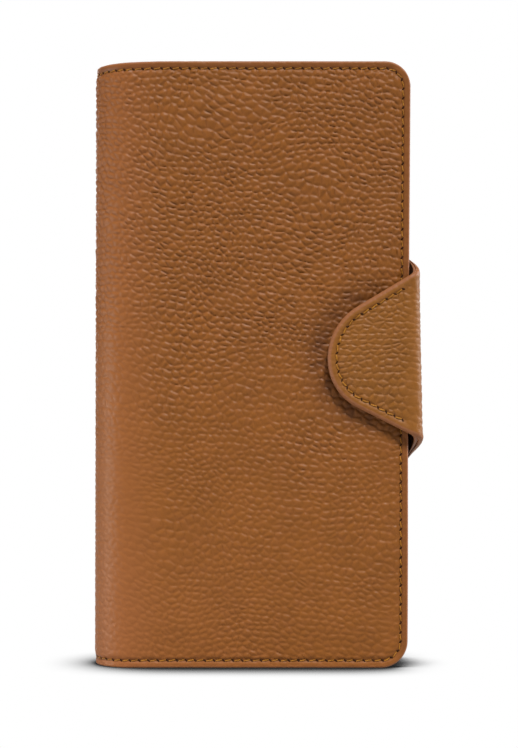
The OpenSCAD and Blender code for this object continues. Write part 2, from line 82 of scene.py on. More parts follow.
SNAP_X = (SOCKET_LOW.x + SOCKET_HIGH.x) / 2

# --- measures of the leather work ---

TOP_R = 8 * MM
LOW_R = 8.3 * MM
STITCH_INSET = 2.3 * MM
STITCH_PITCH = 2.93 * MM
THREAD_R = 0.2 * MM
THREAD_SPAN = 0.4
THREAD_SLANT = 0.2 * MM
HOLE_LONG = 0.58 * MM
HOLE_WIDE = 0.26 * MM
HOLE_SLANT = math.radians(-42)
LINING_INSET = 0.6 * MM
EDGE_ROUND = 0.55 * MM
FRONT_CROWN = 0.55 * MM
BACK_CROWN = 0.25 * MM
PEBBLE_WIDE = 2.65 * MM
PEBBLE_HIGH = 2.0 * MM
CREASE_WIDE = 0.24 * MM
LEAN = 0.0074
SPINE_SHARE = 0.25
FOOT_OUT = 0.5 * MM
FOLD_DROP = 1.3 * MM

# --- measures of the strap: s runs along it from the tab's tip to the end of its root, and t across ---

TIP_R = 18 * MM
SPREAD = math.radians(29)
ROOT_R = 8 * MM
STRAP_INSET = 2.8 * MM
STRAP_ROUND = 0.95 * MM
STRAP_THREAD_R = 0.24 * MM
TAB_L = EDGE_X - TIP_X
BEND_R = STRAP_OUT_X - EDGE_X
BEND_MEAN = BEND_R - STRAP_T / 2
BEND_L = BEND_MEAN * math.pi / 2
FRONT_BEND_Y = TAB_FRONT_Y + BEND_R
BACK_BEND_Y = ROOT_BACK_Y - BEND_R
SIDE_S = TAB_L + BEND_L
SIDE_L = BACK_BEND_Y - FRONT_BEND_Y
SIDE_MID = SIDE_S + SIDE_L / 2
ROOT_S = SIDE_S + SIDE_L + BEND_L
STRAP_L = ROOT_S + EDGE_X - ROOT_X
# it is sewn on a little askew, so its tip points down and it stands further out at its lower edge
TAB_TILT = 0.049
TAB_DOWN = 0.6 * MM
ROOT_DOWN = 1.6 * MM
SLACK = 0.2
SLACK_REACH = 28.5 * MM


def lean(points):
    """The sewn wallet isn't quite square: its opening edge leans out a little, its spine less, and the top of
    its fold is drawn down."""
    x, z = points[..., 0], points[..., 2].copy()
    share = np.interp(x, [SPINE_X, EDGE_X], [SPINE_SHARE, 1])
    foot = FOOT_OUT * (share - SPINE_SHARE) * (1 - smooth(z, 10 * MM, 90 * MM))
    points[..., 0] += LEAN * share * (z - HEIGHT / 2) + foot
    near_fold = 1 - smooth(points[..., 0], SPINE_X - 12 * MM, SPINE_X + 24 * MM)
    points[..., 2] -= FOLD_DROP * near_fold * smooth(z, HEIGHT - 24 * MM, HEIGHT)
    return points


# --- smooth random fields ---


def smooth(x, low, high):
    t = np.clip((x - low) / (high - low), 0, 1)
    return t * t * (3 - 2 * t)


def value_noise(u, v, size, seed):
    """A smooth random field from -1 to 1 whose lumps are about size wide."""
    n = 256
    table = np.random.default_rng(seed).uniform(-1, 1, (n, n))
    gu, gv = u / size + 91.3, v / size + 57.7
    iu, iv = np.floor(gu).astype(int), np.floor(gv).astype(int)
    fu, fv = gu - iu, gv - iv
    fu, fv = fu * fu * (3 - 2 * fu), fv * fv * (3 - 2 * fv)
    a, b = table[iu % n, iv % n], table[(iu + 1) % n, iv % n]
    c, d = table[iu % n, (iv + 1) % n], table[(iu + 1) % n, (iv + 1) % n]
    return (a * (1 - fu) + b * fu) * (1 - fv) + (c * (1 - fu) + d * fu) * fv


def pebbles(u, v, size_u, size_v, seed):
    """Irregular cells in rows: how far the nearest cell border is and how much it lies across, and how high a
    place lies over its cell's middle."""
    n = 512
    table = np.random.default_rng(seed).uniform(0.13, 0.87, (n, n, 2))
    gu, gv = u / size_u + 60.0, v / size_v + 60.0
    row = np.floor(gv).astype(int)
    near = np.full(u.shape, 1e9)
    near_u, near_v = np.zeros(u.shape), np.zeros(u.shape)
    centres = []
    for dv in (-2, -1, 0, 1, 2):
        stagger = 0.5 * ((row + dv) % 2)
        col = np.floor(gu - stagger).astype(int)
        for du in (-1, 0, 1) if abs(dv) == 2 else (-2, -1, 0, 1, 2):
            jitter = table[(col + du) % n, (row + dv) % n]
            cu = (col + du + jitter[..., 0] + stagger - gu) * size_u
            cv = (row + dv + jitter[..., 1] - gv) * size_v * 1.15
            centres.append((cu, cv))
            d = cu * cu + cv * cv
            closer = d < near
            near = np.where(closer, d, near)
            near_u, near_v = np.where(closer, cu, near_u), np.where(closer, cv, near_v)
    border, across = np.full(u.shape, 1e9), np.zeros(u.shape)
    for cu, cv in centres:
        apart = np.hypot(cu - near_u, cv - near_v)
        other = apart > 1e-9
        apart = np.where(other, apart, 1)
        d = (cu * cu + cv * cv - near) / (2 * apart)
        closer = other & (d < border)
        border = np.where(closer, d, border)
        across = np.where(closer, ((cv - near_v) / apart) ** 2, across)
    return border, across, -near_v


def grain(u, v, soft, seed=3):
    """Height of pebbled leather and the shade painted in its creases, from bold where soft is 0 to faint
    where it is 1.
    """

    def noise(size, number):
        return value_noise(u, v, size * MM, seed + number)

    bend_u = 0.4 * MM * noise(4, 0) + 2.6 * MM * noise(24, 1)
    bend_v = 0.4 * MM * noise(4.5, 2) + 2.8 * MM * noise(22, 3)
    border, across, above = pebbles(u + bend_u, v + bend_v + 0.1 * u, PEBBLE_WIDE, PEBBLE_HIGH, seed + 4)
    strength = 0.92 + 0.22 * noise(3.2, 6) + 0.12 * noise(11, 7)
    # rounded pebbles that overlap a little like scales, with deeper creases between the rows than in them
    valley = (1 - np.clip(border / MM, 0, 1)) ** 1.8 * strength * (0.85 + 0.2 * across)
    tilt = np.clip(above / (1.4 * MM), -1, 1) * (1 - np.exp(-border / (0.25 * MM)))
    fold = value_noise(0.8 * u + 0.6 * v + bend_u, (v - 0.8 * u + bend_v) * 0.4, 2.6 * MM, seed + 8)
    fold = np.exp(-((fold / 0.13) ** 2)) * np.clip(noise(13, 9) + 0.2, 0, 1)
    bold = 1 - soft
    height = -(0.55 * bold + 0.05) * valley + (0.22 * bold + 0.01) * tilt - (0.09 * bold + 0.02) * fold
    # painted shade in the creases between the pebbles and in the small folds
    crease = np.exp(-border / CREASE_WIDE) * strength * (0.05 + 0.17 * bold) + 0.06 * fold * bold
    return height * MM, np.clip(crease, 0, 1)


# --- mesh building ---


def new_object(name, points, quads, tris=(), uv=None, floats=None, material_index=None):
    """A mesh object from arrays. uv holds each point's place on the flat leather or cloth, in metres."""
    quads = np.asarray(quads, np.int32).reshape(-1, 4)
    tris = np.asarray(tris, np.int32).reshape(-1, 3)
    mesh = bpy.data.meshes.new(name)
    mesh.vertices.add(len(points))
    mesh.vertices.foreach_set("co", np.asarray(points, np.float32).ravel())
    corners = np.concatenate([quads.ravel(), tris.ravel()]).astype(np.int32)
    mesh.loops.add(len(corners))
    mesh.loops.foreach_set("vertex_index", corners)
    starts = np.concatenate([np.arange(len(quads)) * 4, len(quads) * 4 + np.arange(len(tris)) * 3])
    mesh.polygons.add(len(starts))
    mesh.polygons.foreach_set("loop_start", starts.astype(np.int32))
    if material_index is not None:
        mesh.polygons.foreach_set("material_index", np.asarray(material_index, np.int32))
    mesh.update(calc_edges=True)
    if uv is not None:
        layer = mesh.uv_layers.new(name="flat")
        layer.data.foreach_set("uv", np.asarray(uv, np.float32)[corners].ravel())
    for key, values in (floats or {}).items():
        attribute = mesh.attributes.new(key, "FLOAT", "POINT")
        attribute.data.foreach_set("value", np.asarray(values, np.float32).ravel())
    mesh.shade_smooth()
    mesh.set_sharp_from_angle(angle=math.radians(72))
    made = bpy.data.objects.new(name, mesh)
    bpy.context.scene.collection.objects.link(made)
    return made


def grid_quads(rows, cols, first=0, flip=False):
    r, c = np.meshgrid(np.arange(rows - 1), np.arange(cols - 1), indexing="ij")
    a = (first + r * cols + c).ravel()
    quads = np.stack([a, a + 1, a + cols + 1, a + cols], 1)
    return quads[:, ::-1] if flip else quads


def rim_indices(rows, cols):
    """The border of a grid as one loop: the first row, the last column, the last row and the first column."""
    i = np.arange(rows * cols).reshape(rows, cols)
    return np.concatenate([i[0, :-1], i[:-1, -1], i[-1, :0:-1], i[:0:-1, 0]])


def rim_of(values):
    return values.ravel()[rim_indices(*values.shape)]


def shell(name, at, place, grid, level, loops, back, step, floats, painted=False):
    """A closed sheet: a fine grid outside, loops round its edge, and a back grid step times coarser.

    at(inset) gives the flat grid set in from its outline, and place(u, v, n) the point n above a flat place.
    loops and back say at which inset and level they lie. A level may be a function of the flat place.
    """
    rows, cols = grid[0].shape
    border = rim_indices(rows, cols)

    def laid(inset, level, pick):
        u, v = (pick(g) for g in at(inset))
        return place(u, v, level(u, v) if callable(level) else level + 0 * u), np.stack([u, v], -1)

    flat = np.stack(grid, -1).reshape(-1, 2)
    points, uvs = [place(*grid, level).reshape(-1, 3)], [flat]
    quads, tris = [grid_quads(rows, cols)], []
    last, count = border, rows * cols
    for inset, rim_level in loops:
        points.append(laid(inset, rim_level, lambda g: g.ravel()[border])[0])
        uvs.append(flat[border])
        now = count + np.arange(len(border))
        count += len(border)
        quads.append(np.stack([np.roll(last, -1), last, now, np.roll(now, -1)], 1))
        last = now
    inner, inner_uv = laid(*back, lambda g: g[::step, ::step])
    points.append(inner.reshape(-1, 3))
    uvs.append(inner_uv.reshape(-1, 2))
    quads.append(grid_quads(*inner.shape[:2], count, flip=True))
    # triangles join the last fine loop to the coarse border
    coarse = count + rim_indices(*inner.shape[:2])
    nxt, fine = np.roll(coarse, -1), last.reshape(-1, step)
    ends = np.roll(last, -step).reshape(-1, step)[:, 0]
    half = step // 2
    edge = np.concatenate([fine, ends[:, None]], 1)
    for k in range(step):
        near = coarse if k < half or step == 1 else nxt
        tris.append(np.stack([edge[:, k + 1], edge[:, k], near], 1))
    tris.append(np.stack([edge[:, half], coarse, nxt], 1))
    points, uvs = np.concatenate(points), np.concatenate(uvs)
    values = {key: np.zeros(len(points)) for key in (*floats, "paint")}
    for key, on_grid in floats.items():
        values[key][: rows * cols] = on_grid.ravel()
    if painted:
        values["paint"][rows * cols :] = 1
    made = new_object(name, lean(points), np.concatenate(quads), np.concatenate(tris), uvs, values)
    return facing_out(made)


def rounded(rounding, angles, level):
    """The loops of a rounded edge: the inset of each, and its level as level(cosine)."""
    turns = [math.radians(angle) for angle in angles]
    return [(rounding * (1 - math.sin(a)), level(math.cos(a))) for a in turns]


def facing_out(made):
    """Turns every face over if the closed mesh is inside out."""
    mesh = made.data
    mesh.calc_loop_triangles()
    corners = np.zeros(len(mesh.loop_triangles) * 3, np.int32)
    mesh.loop_triangles.foreach_get("vertices", corners)
    co = np.zeros(len(mesh.vertices) * 3, np.float32)
    mesh.vertices.foreach_get("co", co)
    t = co.reshape(-1, 3).astype(float)[corners.reshape(-1, 3)]
    if np.einsum("ij,ij->i", t[:, 0], np.cross(t[:, 1], t[:, 2])).sum() < 0:
        mesh.flip_normals()
    return made


# --- materials ---


# a wave texture of this scale repeats once in a metre
WAVE_SCALE = 0.3142


class Nodes:
    """A short way to build a node material."""

    def __init__(self, name):
        self.material = bpy.data.materials.new(name)
        self.material.use_nodes = True
        self.tree = self.material.node_tree
        self.shader = self.tree.nodes["Principled BSDF"]

    def add(self, kind, **settings):
        node = self.tree.nodes.new(kind)
        for key, value in settings.items():
            if key in node.inputs:
                node.inputs[key].default_value = value
            else:
                setattr(node, key, value)
        return node

    def link(self, source, target):
        self.tree.links.new(source, target)

    def set(self, **values):
        for key, value in values.items():
            self.shader.inputs[key.replace("_", " ")].default_value = value

    def flat_place(self):
        return self.add("ShaderNodeUVMap", uv_map="flat").outputs["UV"]

    def noise(self, size, detail, place=None):
        node = self.add("ShaderNodeTexNoise", noise_dimensions="3D", Detail=detail, Roughness=0.55)
        node.inputs["Scale"].default_value = 1 / size
        self.link(place or self.flat_place(), node.inputs["Vector"])
        return node.outputs["Fac"]

    def solid_place(self):
        return self.add("ShaderNodeTexCoord").outputs["Object"]

    def patches(self, size, detail, low, high, to_low=0.0, to_high=1.0, place=None):
        """Soft edged patches about size millimetres wide."""
        return self.ramp(self.noise(size * MM, detail, place), low, high, to_low, to_high)

    def rough(self, size, detail, low, high, place=None):
        return self.patches(size, detail, 0.3, 0.7, low, high, place)

    def wave(self, direction, pitch, place=None, **settings):
        node = self.add("ShaderNodeTexWave", wave_type="BANDS", bands_direction=direction, wave_profile="SIN")
        node.inputs["Scale"].default_value = WAVE_SCALE / pitch
        for key, value in settings.items():
            node.inputs[key.replace("_", " ")].default_value = value
        self.link(place or self.flat_place(), node.inputs["Vector"])
        return node.outputs["Fac"]

    def ramp(self, source, low, high, to_low=0.0, to_high=1.0):
        node = self.add("ShaderNodeMapRange", interpolation_type="SMOOTHSTEP")
        for key, value in (("From Min", low), ("From Max", high), ("To Min", to_low), ("To Max", to_high)):
            node.inputs[key].default_value = value
        self.link(source, node.inputs["Value"])
        return node.outputs["Result"]

    def mix(self, factor, a, b):
        node = self.add("ShaderNodeMix", data_type="RGBA")
        self.link(factor, node.inputs["Factor"])
        for value, key in ((a, "A"), (b, "B")):
            socket = [s for s in node.inputs if s.name == key and s.type == "RGBA"][0]
            if isinstance(value, tuple):
                socket.default_value = (*value, 1)
            else:
                self.link(value, socket)
        return [s for s in node.outputs if s.type == "RGBA"][0]

    def attribute(self, name):
        return self.add("ShaderNodeAttribute", attribute_name=name).outputs["Fac"]

    def bump(self, height, distance, strength, under=None):
        node = self.add("ShaderNodeBump", Distance=distance, Strength=strength)
        self.link(height, node.inputs["Height"])
        if under is not None:
            self.link(under, node.inputs["Normal"])
        return node.outputs["Normal"]

    def finish(self, colour, roughness=None, normal=None):
        for source, key in ((colour, "Base Color"), (roughness, "Roughness"), (normal, "Normal")):
            if source is not None:
                self.link(source, self.shader.inputs[key])
        return self.material


def linear(*rgb):
    """An sRGB colour given from 0 to 255, as linear values."""
    return tuple(c / 12.92 if c <= 0.04045 else ((c + 0.055) / 1.055) ** 2.4 for c in (v / 255 for v in rgb))


def shade(colour, share):
    return tuple(c * share for c in colour)


def leather_material(name, base, warm, dark, edge):
    """Pebbled leather: painted shade in its creases, warmer rims, a painted sheen by the spine and edge paint
    on its cut edges.
    """
    m = Nodes(name)
    colour = m.mix(m.patches(14, 2, 0.35, 0.65), base, shade(base, 0.9))
    colour = m.mix(m.patches(3.2, 3, 0.42, 0.7, 0.0, 0.35), colour, warm)
    colour = m.mix(m.patches(0.8, 3, 0.4, 0.62, 0.0, 0.4), colour, shade(base, 0.86))
    # warm gives the warmer rims and a painted sheen by the spine and low on the left; the creases get painted
    # shade in the dark colour
    for key, tint in (("warm", warm), ("crease", dark), ("paint", edge)):
        colour = m.mix(m.attribute(key), colour, tint)
    fine, pores = m.noise(0.35 * MM, 4), m.noise(0.9 * MM, 2)
    normal = m.bump(pores, 0.08 * MM, 0.6, m.bump(fine, 0.05 * MM, 0.5))
    m.set(Specular_IOR_Level=0.21)
    return m.finish(colour, m.rough(1.1, 3, 0.45, 0.57), normal)


def plain_leather_material(name, base, dark, edge, bump=0.06):
    """Fine grained leather of the pockets, with painted shade in its creases."""
    m = Nodes(name)
    colour = m.mix(m.patches(9, 3, 0.35, 0.65), base, shade(base, 0.84))
    cells = m.add("ShaderNodeTexVoronoi", feature="DISTANCE_TO_EDGE")
    cells.inputs["Scale"].default_value = 1 / (1.1 * MM)
    m.link(m.flat_place(), cells.inputs["Vector"])
    # the borders between the cells are painted darker: painted shade in the creases
    crease = m.ramp(cells.outputs["Distance"], 0.0, 0.16, 1.0, 0.0)
    colour = m.mix(m.ramp(crease, 0.0, 1.0, 0.0, 0.5), colour, dark)
    colour = m.mix(m.attribute("paint"), colour, edge)
    normal = m.bump(m.ramp(cells.outputs["Distance"], 0.0, 0.3), bump * MM, 0.7)
    normal = m.bump(m.noise(0.3 * MM, 3), 0.03 * MM, 0.5, normal)
    m.set(Specular_IOR_Level=0.4)
    return m.finish(colour, m.rough(1.5, 3, 0.46, 0.6), normal)


def woven_material(name, base, dark, pitch):
    """Woven cloth: warp and weft threads that pass over each other."""
    m = Nodes(name)
    place = m.flat_place()
    waves = [m.wave(axis, pitch, place, Distortion=0.6, Detail_Scale=2.0) for axis in ("X", "Y")]
    cloth = m.add("ShaderNodeMath", operation="MULTIPLY")
    for wave, socket in zip(waves, cloth.inputs):
        m.link(wave, socket)
    weave = m.ramp(cloth.outputs["Value"], 0.0, 0.7)
    colour = m.mix(weave, dark, base)
    colour = m.mix(m.patches(7, 3, 0.3, 0.7, 0.0, 0.4), colour, shade(base, 0.75))
    normal = m.bump(weave, 0.05 * MM, 0.8)
    m.set(Sheen_Weight=0.2, Specular_IOR_Level=0.25)
    return m.finish(colour, m.rough(2, 2, 0.7, 0.85), normal)


def thread_material(name, base, dark):
    """Waxed thread, twisted of three strands."""
    m = Nodes(name)
    strand = m.ramp(m.wave("DIAGONAL", 0.32 * MM), 0.05, 0.6)
    colour = m.mix(strand, dark, base)
    colour = m.mix(m.patches(2.4, 2, 0.35, 0.7, 0.0, 0.4), colour, dark)
    normal = m.bump(strand, 0.06 * MM, 0.8)
    m.set(Specular_IOR_Level=0.2)
    return m.finish(colour, m.rough(0.8, 2, 0.45, 0.65), normal)


def metal_material(name, base, dark, rough):
    """Plated metal with fine wear marks."""
    m = Nodes(name)
    place = m.solid_place()
    colour = m.mix(m.patches(3.5, 1, 0.4, 0.7, place=place), base, dark)
    scratch = m.noise(0.6 * MM, 1, place)
    m.set(Metallic=1.0)
    roughness = m.rough(1.8, 1, rough * 0.85, rough * 1.3, place)
    return m.finish(colour, roughness, m.bump(scratch, 0.004 * MM, 0.1))


def board_material(name, base, dark):
    """Pressed fibre board, or foam, with a speckled surface."""
    m = Nodes(name)
    place = m.solid_place()
    colour = m.mix(m.patches(1.2, 5, 0.4, 0.65, place=place), base, dark)
    normal = m.bump(m.noise(0.5 * MM, 4, place), 0.05 * MM, 0.6)
    return m.finish(colour, m.rough(2, 2, 0.75, 0.9, place), normal)


def hole_material():
    """Painted shade: the dark of an awl's hole in leather, on a small piece laid over it."""
    m = Nodes("awl_hole")
    place = m.solid_place()
    colour = m.mix(m.noise(0.3 * MM, 2, place), linear(30, 15, 7), linear(58, 31, 13))
    m.set(Specular_IOR_Level=0.1)
    return m.finish(colour, m.rough(0.5, 2, 0.8, 0.95, place))


# the darkest colour given to each leather is the shade painted into its creases
COVER = leather_material(
    "cover_leather", linear(122, 72, 23), linear(130, 78, 40), linear(58, 27, 9), linear(132, 84, 53)
)
STRAP = leather_material(
    "strap_leather", linear(123, 76, 24), linear(134, 88, 50), linear(58, 29, 9), linear(126, 80, 50)
)
POCKET = plain_leather_material("pocket_leather", linear(124, 75, 38), linear(70, 36, 18), linear(70, 36, 18))
INNER_STRAP = plain_leather_material(
    "strap_lining", linear(112, 68, 36), linear(64, 34, 18), linear(124, 80, 54), 0.04
)
LINING = woven_material("lining_fabric", linear(92, 62, 42), linear(52, 32, 20), 0.45 * MM)
TAPE = woven_material("zip_tape", linear(84, 52, 30), linear(44, 26, 14), 0.6 * MM)
THREAD = thread_material("thread", linear(174, 118, 34), linear(96, 56, 16))
METAL = metal_material("gold_metal", linear(214, 176, 112), linear(194, 152, 88), 0.24)
STEEL = metal_material("magnet_steel", linear(120, 120, 122), linear(84, 84, 88), 0.38)
BOARD = board_material("stiffener_board", linear(176, 166, 150), linear(140, 128, 110))
FOAM = board_material("padding_foam", linear(226, 220, 205), linear(196, 188, 170))
HOLE_SHADE = hole_material()


def dress(made, *materials):
    if made.data.materials:
        made.data.materials.clear()
    for material in materials:
        made.data.materials.append(material)
    return made


def stand_in(made, slot_name, nodes, *materials):
    """Gives a piece its materials and hides the CAD nodes it stands for. slot_name is not used."""
    dress(made, *materials)
    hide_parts(*nodes)
    return made


# --- the outer leather ---
# u runs along the leather: 0 at the front cover's fold, growing to the opening edge, and falling round
# the spine to the back cover. v is the height.


def wrap(u, v, n):
    """The point that lies n outside the leather's outer face at u, v."""
    turn = math.pi + np.clip(u, -SPINE_L, 0) / HALF
    on_front, on_back = u >= 0, u <= -SPINE_L
    r = HALF + n
    x = FOLD_X - r * np.sin(turn)
    y = MID_Y + r * np.cos(turn)
    x = np.where(on_front, FOLD_X + u, np.where(on_back, FOLD_X - SPINE_L - u, x))
    y = np.where(on_front, MID_Y - r, np.where(on_back, MID_Y + r, y))
    return np.stack([x, y, v + 0 * x], -1)


def inside(across, up, down, top_r, low_r):
    """How far a point lies inside an outline with two rounded corners, from its distances to the sides."""
    d = np.minimum(across, np.minimum(up, down))
    for r, away in ((top_r, up), (low_r, down)):
        corner = (across < r) & (away < r)
        d = np.where(corner, r - np.hypot(r - across, r - away), d)
    return d


def from_edge(u, v):
    """How far a point lies inside the covers' outline."""
    across = COVER_L - np.where(u > -SPINE_L / 2, u, -SPINE_L - u)
    return inside(across, HEIGHT - v, v, TOP_R, LOW_R)


def spaced(start, stop, size, step, fine_start=False, fine_stop=False):
    """Places from start to stop about size apart, closer near a fine end, in a multiple of step intervals."""
    near = np.array([0, 0.1, 0.24, 0.42, 0.66, 0.95]) * MM
    body_start = start + (near[-1] if fine_start else 0)
    body_stop = stop - (near[-1] if fine_stop else 0)
    extra = len(near) - 1
    fixed = extra * (fine_start + fine_stop)
    count = max(1, round((body_stop - body_start) / size))
    count += -(count + fixed) % step
    middle = np.linspace(body_start, body_stop, count + 1)
    parts = [middle]
    if fine_start:
        parts.insert(0, start + near[:-1])
    if fine_stop:
        parts.append(stop - near[-2::-1])
    return np.concatenate(parts)


def rounded_columns(reach, corner_steps, stop, size, step, fine_stop=False):
    """Distances from the opening edge: at equal angles round a corner, and then about size apart."""
    angle = np.linspace(0, math.pi / 2, corner_steps + 1)[:-1]
    return np.concatenate([reach * (1 - np.cos(angle)), spaced(reach, stop, size, step, fine_stop=fine_stop)])


def paired(places):
    """The places, less one from their middle where they would make an odd number of intervals."""
    return places if len(places) % 2 else np.delete(places, len(places) // 2)


def cover_grid(columns, rows, inset, top_r=TOP_R, low_r=LOW_R, edge=COVER_L, height=HEIGHT):
    """u and v of a grid with two rounded corners, set in from its outline.

    columns are distances from the side with those corners, which is the opening edge of a cover.
    """
    reach = max(top_r, low_r)
    # the columns over the corners follow equal angles, so that the corner comes out round
    from_opening = np.where(columns < reach, columns * ((reach - inset) / reach), columns - inset)

    def drop(r):
        into = np.clip(r - from_opening, 0, r)
        return r - np.sqrt(np.maximum(r * r - into * into, 0))

    high = height - inset - drop(top_r - inset)
    low = inset + drop(low_r - inset)
    v = low[None, :] + (high - low)[None, :] * (rows / rows[-1])[:, None]
    return np.broadcast_to((edge - inset - from_opening)[None, :], v.shape), v


def seam_groove(d):
    """The line that the stitches press into the leather, and the thinner margin outside it."""
    groove = -0.32 * np.exp(-(((d - STITCH_INSET) / (0.55 * MM)) ** 2))
    margin = -0.3 * (1 - smooth(d, STITCH_INSET - 0.2 * MM, STITCH_INSET + 1.6 * MM))
    return (groove + margin) * MM


def cover_height(u, v, front):
    """Height of the outer leather over its flat place, the shade painted in its creases and grooves, and how
    much warmer it is, with a painted sheen by the spine and low on the left.
    """
    d = from_edge(u, v)
    past_fold = u if front else -SPINE_L - u
    near_spine = 1 - smooth(past_fold, -7 * MM, 14 * MM)
    # a painted sheen low on the front's left
    low_left_light = np.zeros(u.shape)
    if front:
        low_left_light = (1 - smooth(u, 5 * MM, 62 * MM)) * (1 - smooth(v, 6 * MM, 60 * MM))
    calm = 0.5 * (1 - smooth(v, 20 * MM, 135 * MM)) - 0.18 * smooth(v, 110 * MM, 180 * MM)
    soft = np.clip(calm + 0.45 * near_spine + 0.12 * value_noise(u, v, 22 * MM, 41), -0.3, 0.8)
    soft = np.maximum(soft, 0.9 * (1 - smooth(d, STITCH_INSET - 0.4 * MM, STITCH_INSET + 1.0 * MM)))
    height, crease = grain(u, v, soft)
    crease *= 0.3 + 0.7 * smooth(d, STITCH_INSET, STITCH_INSET + 1.2 * MM)
    height += seam_groove(d)
    panel = smooth(np.abs(u + SPINE_L / 2) - SPINE_L / 2, -4 * MM, 12 * MM)
    crown = smooth(d, STITCH_INSET, 15 * MM) * panel
    height += (FRONT_CROWN if front else BACK_CROWN) * crown
    height += (0.12 * value_noise(u, v, 26 * MM, 51) + 0.05 * value_noise(u, v, 9 * MM, 52)) * MM * panel
    margin = 1 - smooth(d, STITCH_INSET - 0.5 * MM, STITCH_INSET + 0.6 * MM)
    # warmer along the margins, with a painted sheen by the spine and low on the left
    warm = np.clip(0.7 * near_spine + 0.25 * margin + 0.3 * low_left_light, 0, 1)
    # painted shade along the top margin
    top_margin = margin * smooth(v, HEIGHT - 4 * MM, HEIGHT - 1 * MM) * smooth(d, 0.4 * MM, MM)
    crease = np.maximum(crease, 0.32 * top_margin)
    # painted shade along the margin at the front's opening edge
    if front:
        crease = np.maximum(crease, 0.26 * margin * smooth(u + FOLD_X, EDGE_X - 4 * MM, EDGE_X - 1 * MM))
    # painted shade in the stitch groove
    crease = np.clip(crease + 0.4 * np.exp(-(((d - STITCH_INSET) / (0.35 * MM)) ** 2)), 0, 1)
    if front:
        height, crease = pressed_by_tab(u, v, height, crease)
    return height, crease, warm


def pressed_by_tab(u, v, height, crease):
    """The leather dips under and round the tab, where the strap pulls, with small folds round its tip. Shade
    is painted in a ring round the tab and in the troughs of the folds.
    """
    x, z = u + FOLD_X, v - STRAP_Z
    along = x - (TIP_X + 17 * MM)
    # how far a place lies outside the tab: round its tip, and past it along its two spreading sides
    r = np.hypot(np.minimum(along, 0), z) - TIP_R
    r = np.where(along > 0, (np.abs(z) - TIP_R - along * 0.55) * 0.87, r)
    dip = 1 - smooth(r, -3 * MM, 9 * MM)
    socket = 1 - smooth(np.hypot(x - SNAP_X, z), 5.5 * MM, 11 * MM)
    height = height - 0.55 * MM * dip - 0.1 * MM * socket
    angle = np.arctan2(z, -along)
    fold = (1 - smooth(np.abs(r - 1.2 * MM), 0, 6 * MM)) * smooth(r, -2 * MM, 1 * MM)
    ripple = np.sin(angle * 15 + 2.2 * value_noise(x, z, 7 * MM, 61) + r / (3.5 * MM))
    height = height + 0.13 * MM * fold * ripple * (0.5 + 0.5 * value_noise(x, z, 9 * MM, 62))
    # painted shadow in a ring round the tab, and painted shade in the troughs of the folds
    near = 0.32 * (1 - smooth(np.abs(r - MM), 0, 9 * MM)) * (1 - smooth(x, EDGE_X - 14 * MM, EDGE_X - 4 * MM))
    crease = np.clip(crease + near + 0.25 * fold * np.clip(-ripple, 0, 1), 0, 1)
    return height, crease


class Part:
    """One piece of the sheets that go round the covers and the spine, from low to high along u."""

    def __init__(self, name, low, high, bodies, turn, nodes):
        self.name, self.low, self.high = name, low, high
        self.bodies, self.turn, self.nodes = bodies, turn, nodes
        self.front = name != "back"

    def grid(self, rows, size, step, corner_steps):
        """at(inset), which gives the piece's flat u and v set in from its outline."""
        if math.isfinite(self.low) and math.isfinite(self.high):
            columns = spaced(self.low, self.high, size, step)
            return lambda inset: np.meshgrid(columns, inset + (HEIGHT - 2 * inset) * rows / HEIGHT)
        reach = max(TOP_R, LOW_R)
        span = COVER_L - (self.low if self.front else -SPINE_L - self.high)
        columns = rounded_columns(reach, corner_steps, span, size, step)

        def at(inset):
            u, v = cover_grid(columns, rows, inset)
            # the cut at the spine keeps its place whatever the inset
            u = np.where(columns[None, :] > reach, np.maximum(COVER_L - columns[None, :], COVER_L - span), u)
            return (u if self.front else -SPINE_L - u), v

        return at

    def join(self, made):
        """Bakes the piece's transform into its mesh; it is not bent between its two bodies."""
        start, end = spine_point(self.turn), spine_point(self.turn + 45)
        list(self.bodies)
        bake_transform(made)
        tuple(start)
        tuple(end)

    def stands_for(self, kind):
        return [node.format(kind) for node in self.nodes]


def spine_point(angle):
    a = math.radians(angle)
    return (FOLD_X - HALF * math.sin(a), MID_Y + HALF * math.cos(a), 0)


BACK_CUT, MIDDLE, FRONT_CUT = -SPINE_L + QUARTER, -2 * QUARTER, -QUARTER
PARTS = (
    Part("back", -math.inf, BACK_CUT, ("back_cover", "spine_back"), 0, ("back_{}", "spine_{}_back")),
    Part("spine_back", BACK_CUT, MIDDLE, ("spine_back", "coin_page"), 45, ("spine_{}_mid",)),
    Part("spine_front", MIDDLE, FRONT_CUT, ("coin_page", "spine_front"), 90, ("spine_{}_front",)),
    Part("front", FRONT_CUT, math.inf, ("spine_front", "front_cover"), 135, ("front_{}",)),
)


def cover_piece(part, size, step):
    """One piece of the outer leather, with its grain, its rounded edge and its flesh side."""
    at = part.grid(spaced(0, HEIGHT, size, step, True, True), size, step, 24)
    u, v = at(EDGE_ROUND)
    height, crease, warm = cover_height(u, v, part.front)
    edge = rim_of(height)
    loops = rounded(EDGE_ROUND, (30, 60, 90), lambda cosine: edge - EDGE_ROUND * (1 - cosine))
    loops += [(0, -LEATHER_T + 0.25 * MM), (0.2 * MM, -LEATHER_T)]
    floats = {"crease": crease, "warm": warm, "paint": np.zeros_like(u)}
    back = (0.3 * MM, -LEATHER_T)
    made = shell("outer_leather_" + part.name, at, wrap, (u, v), height, loops, back, step, floats, True)
    stand_in(made, "cover_leather", part.stands_for("leather"), COVER)
    part.join(made)


FINE = 0.34 * MM
COARSE = 0.46 * MM
for part in PARTS:
    cover_piece(part, FINE if part.front else COARSE, 4)


# --- the strap ---


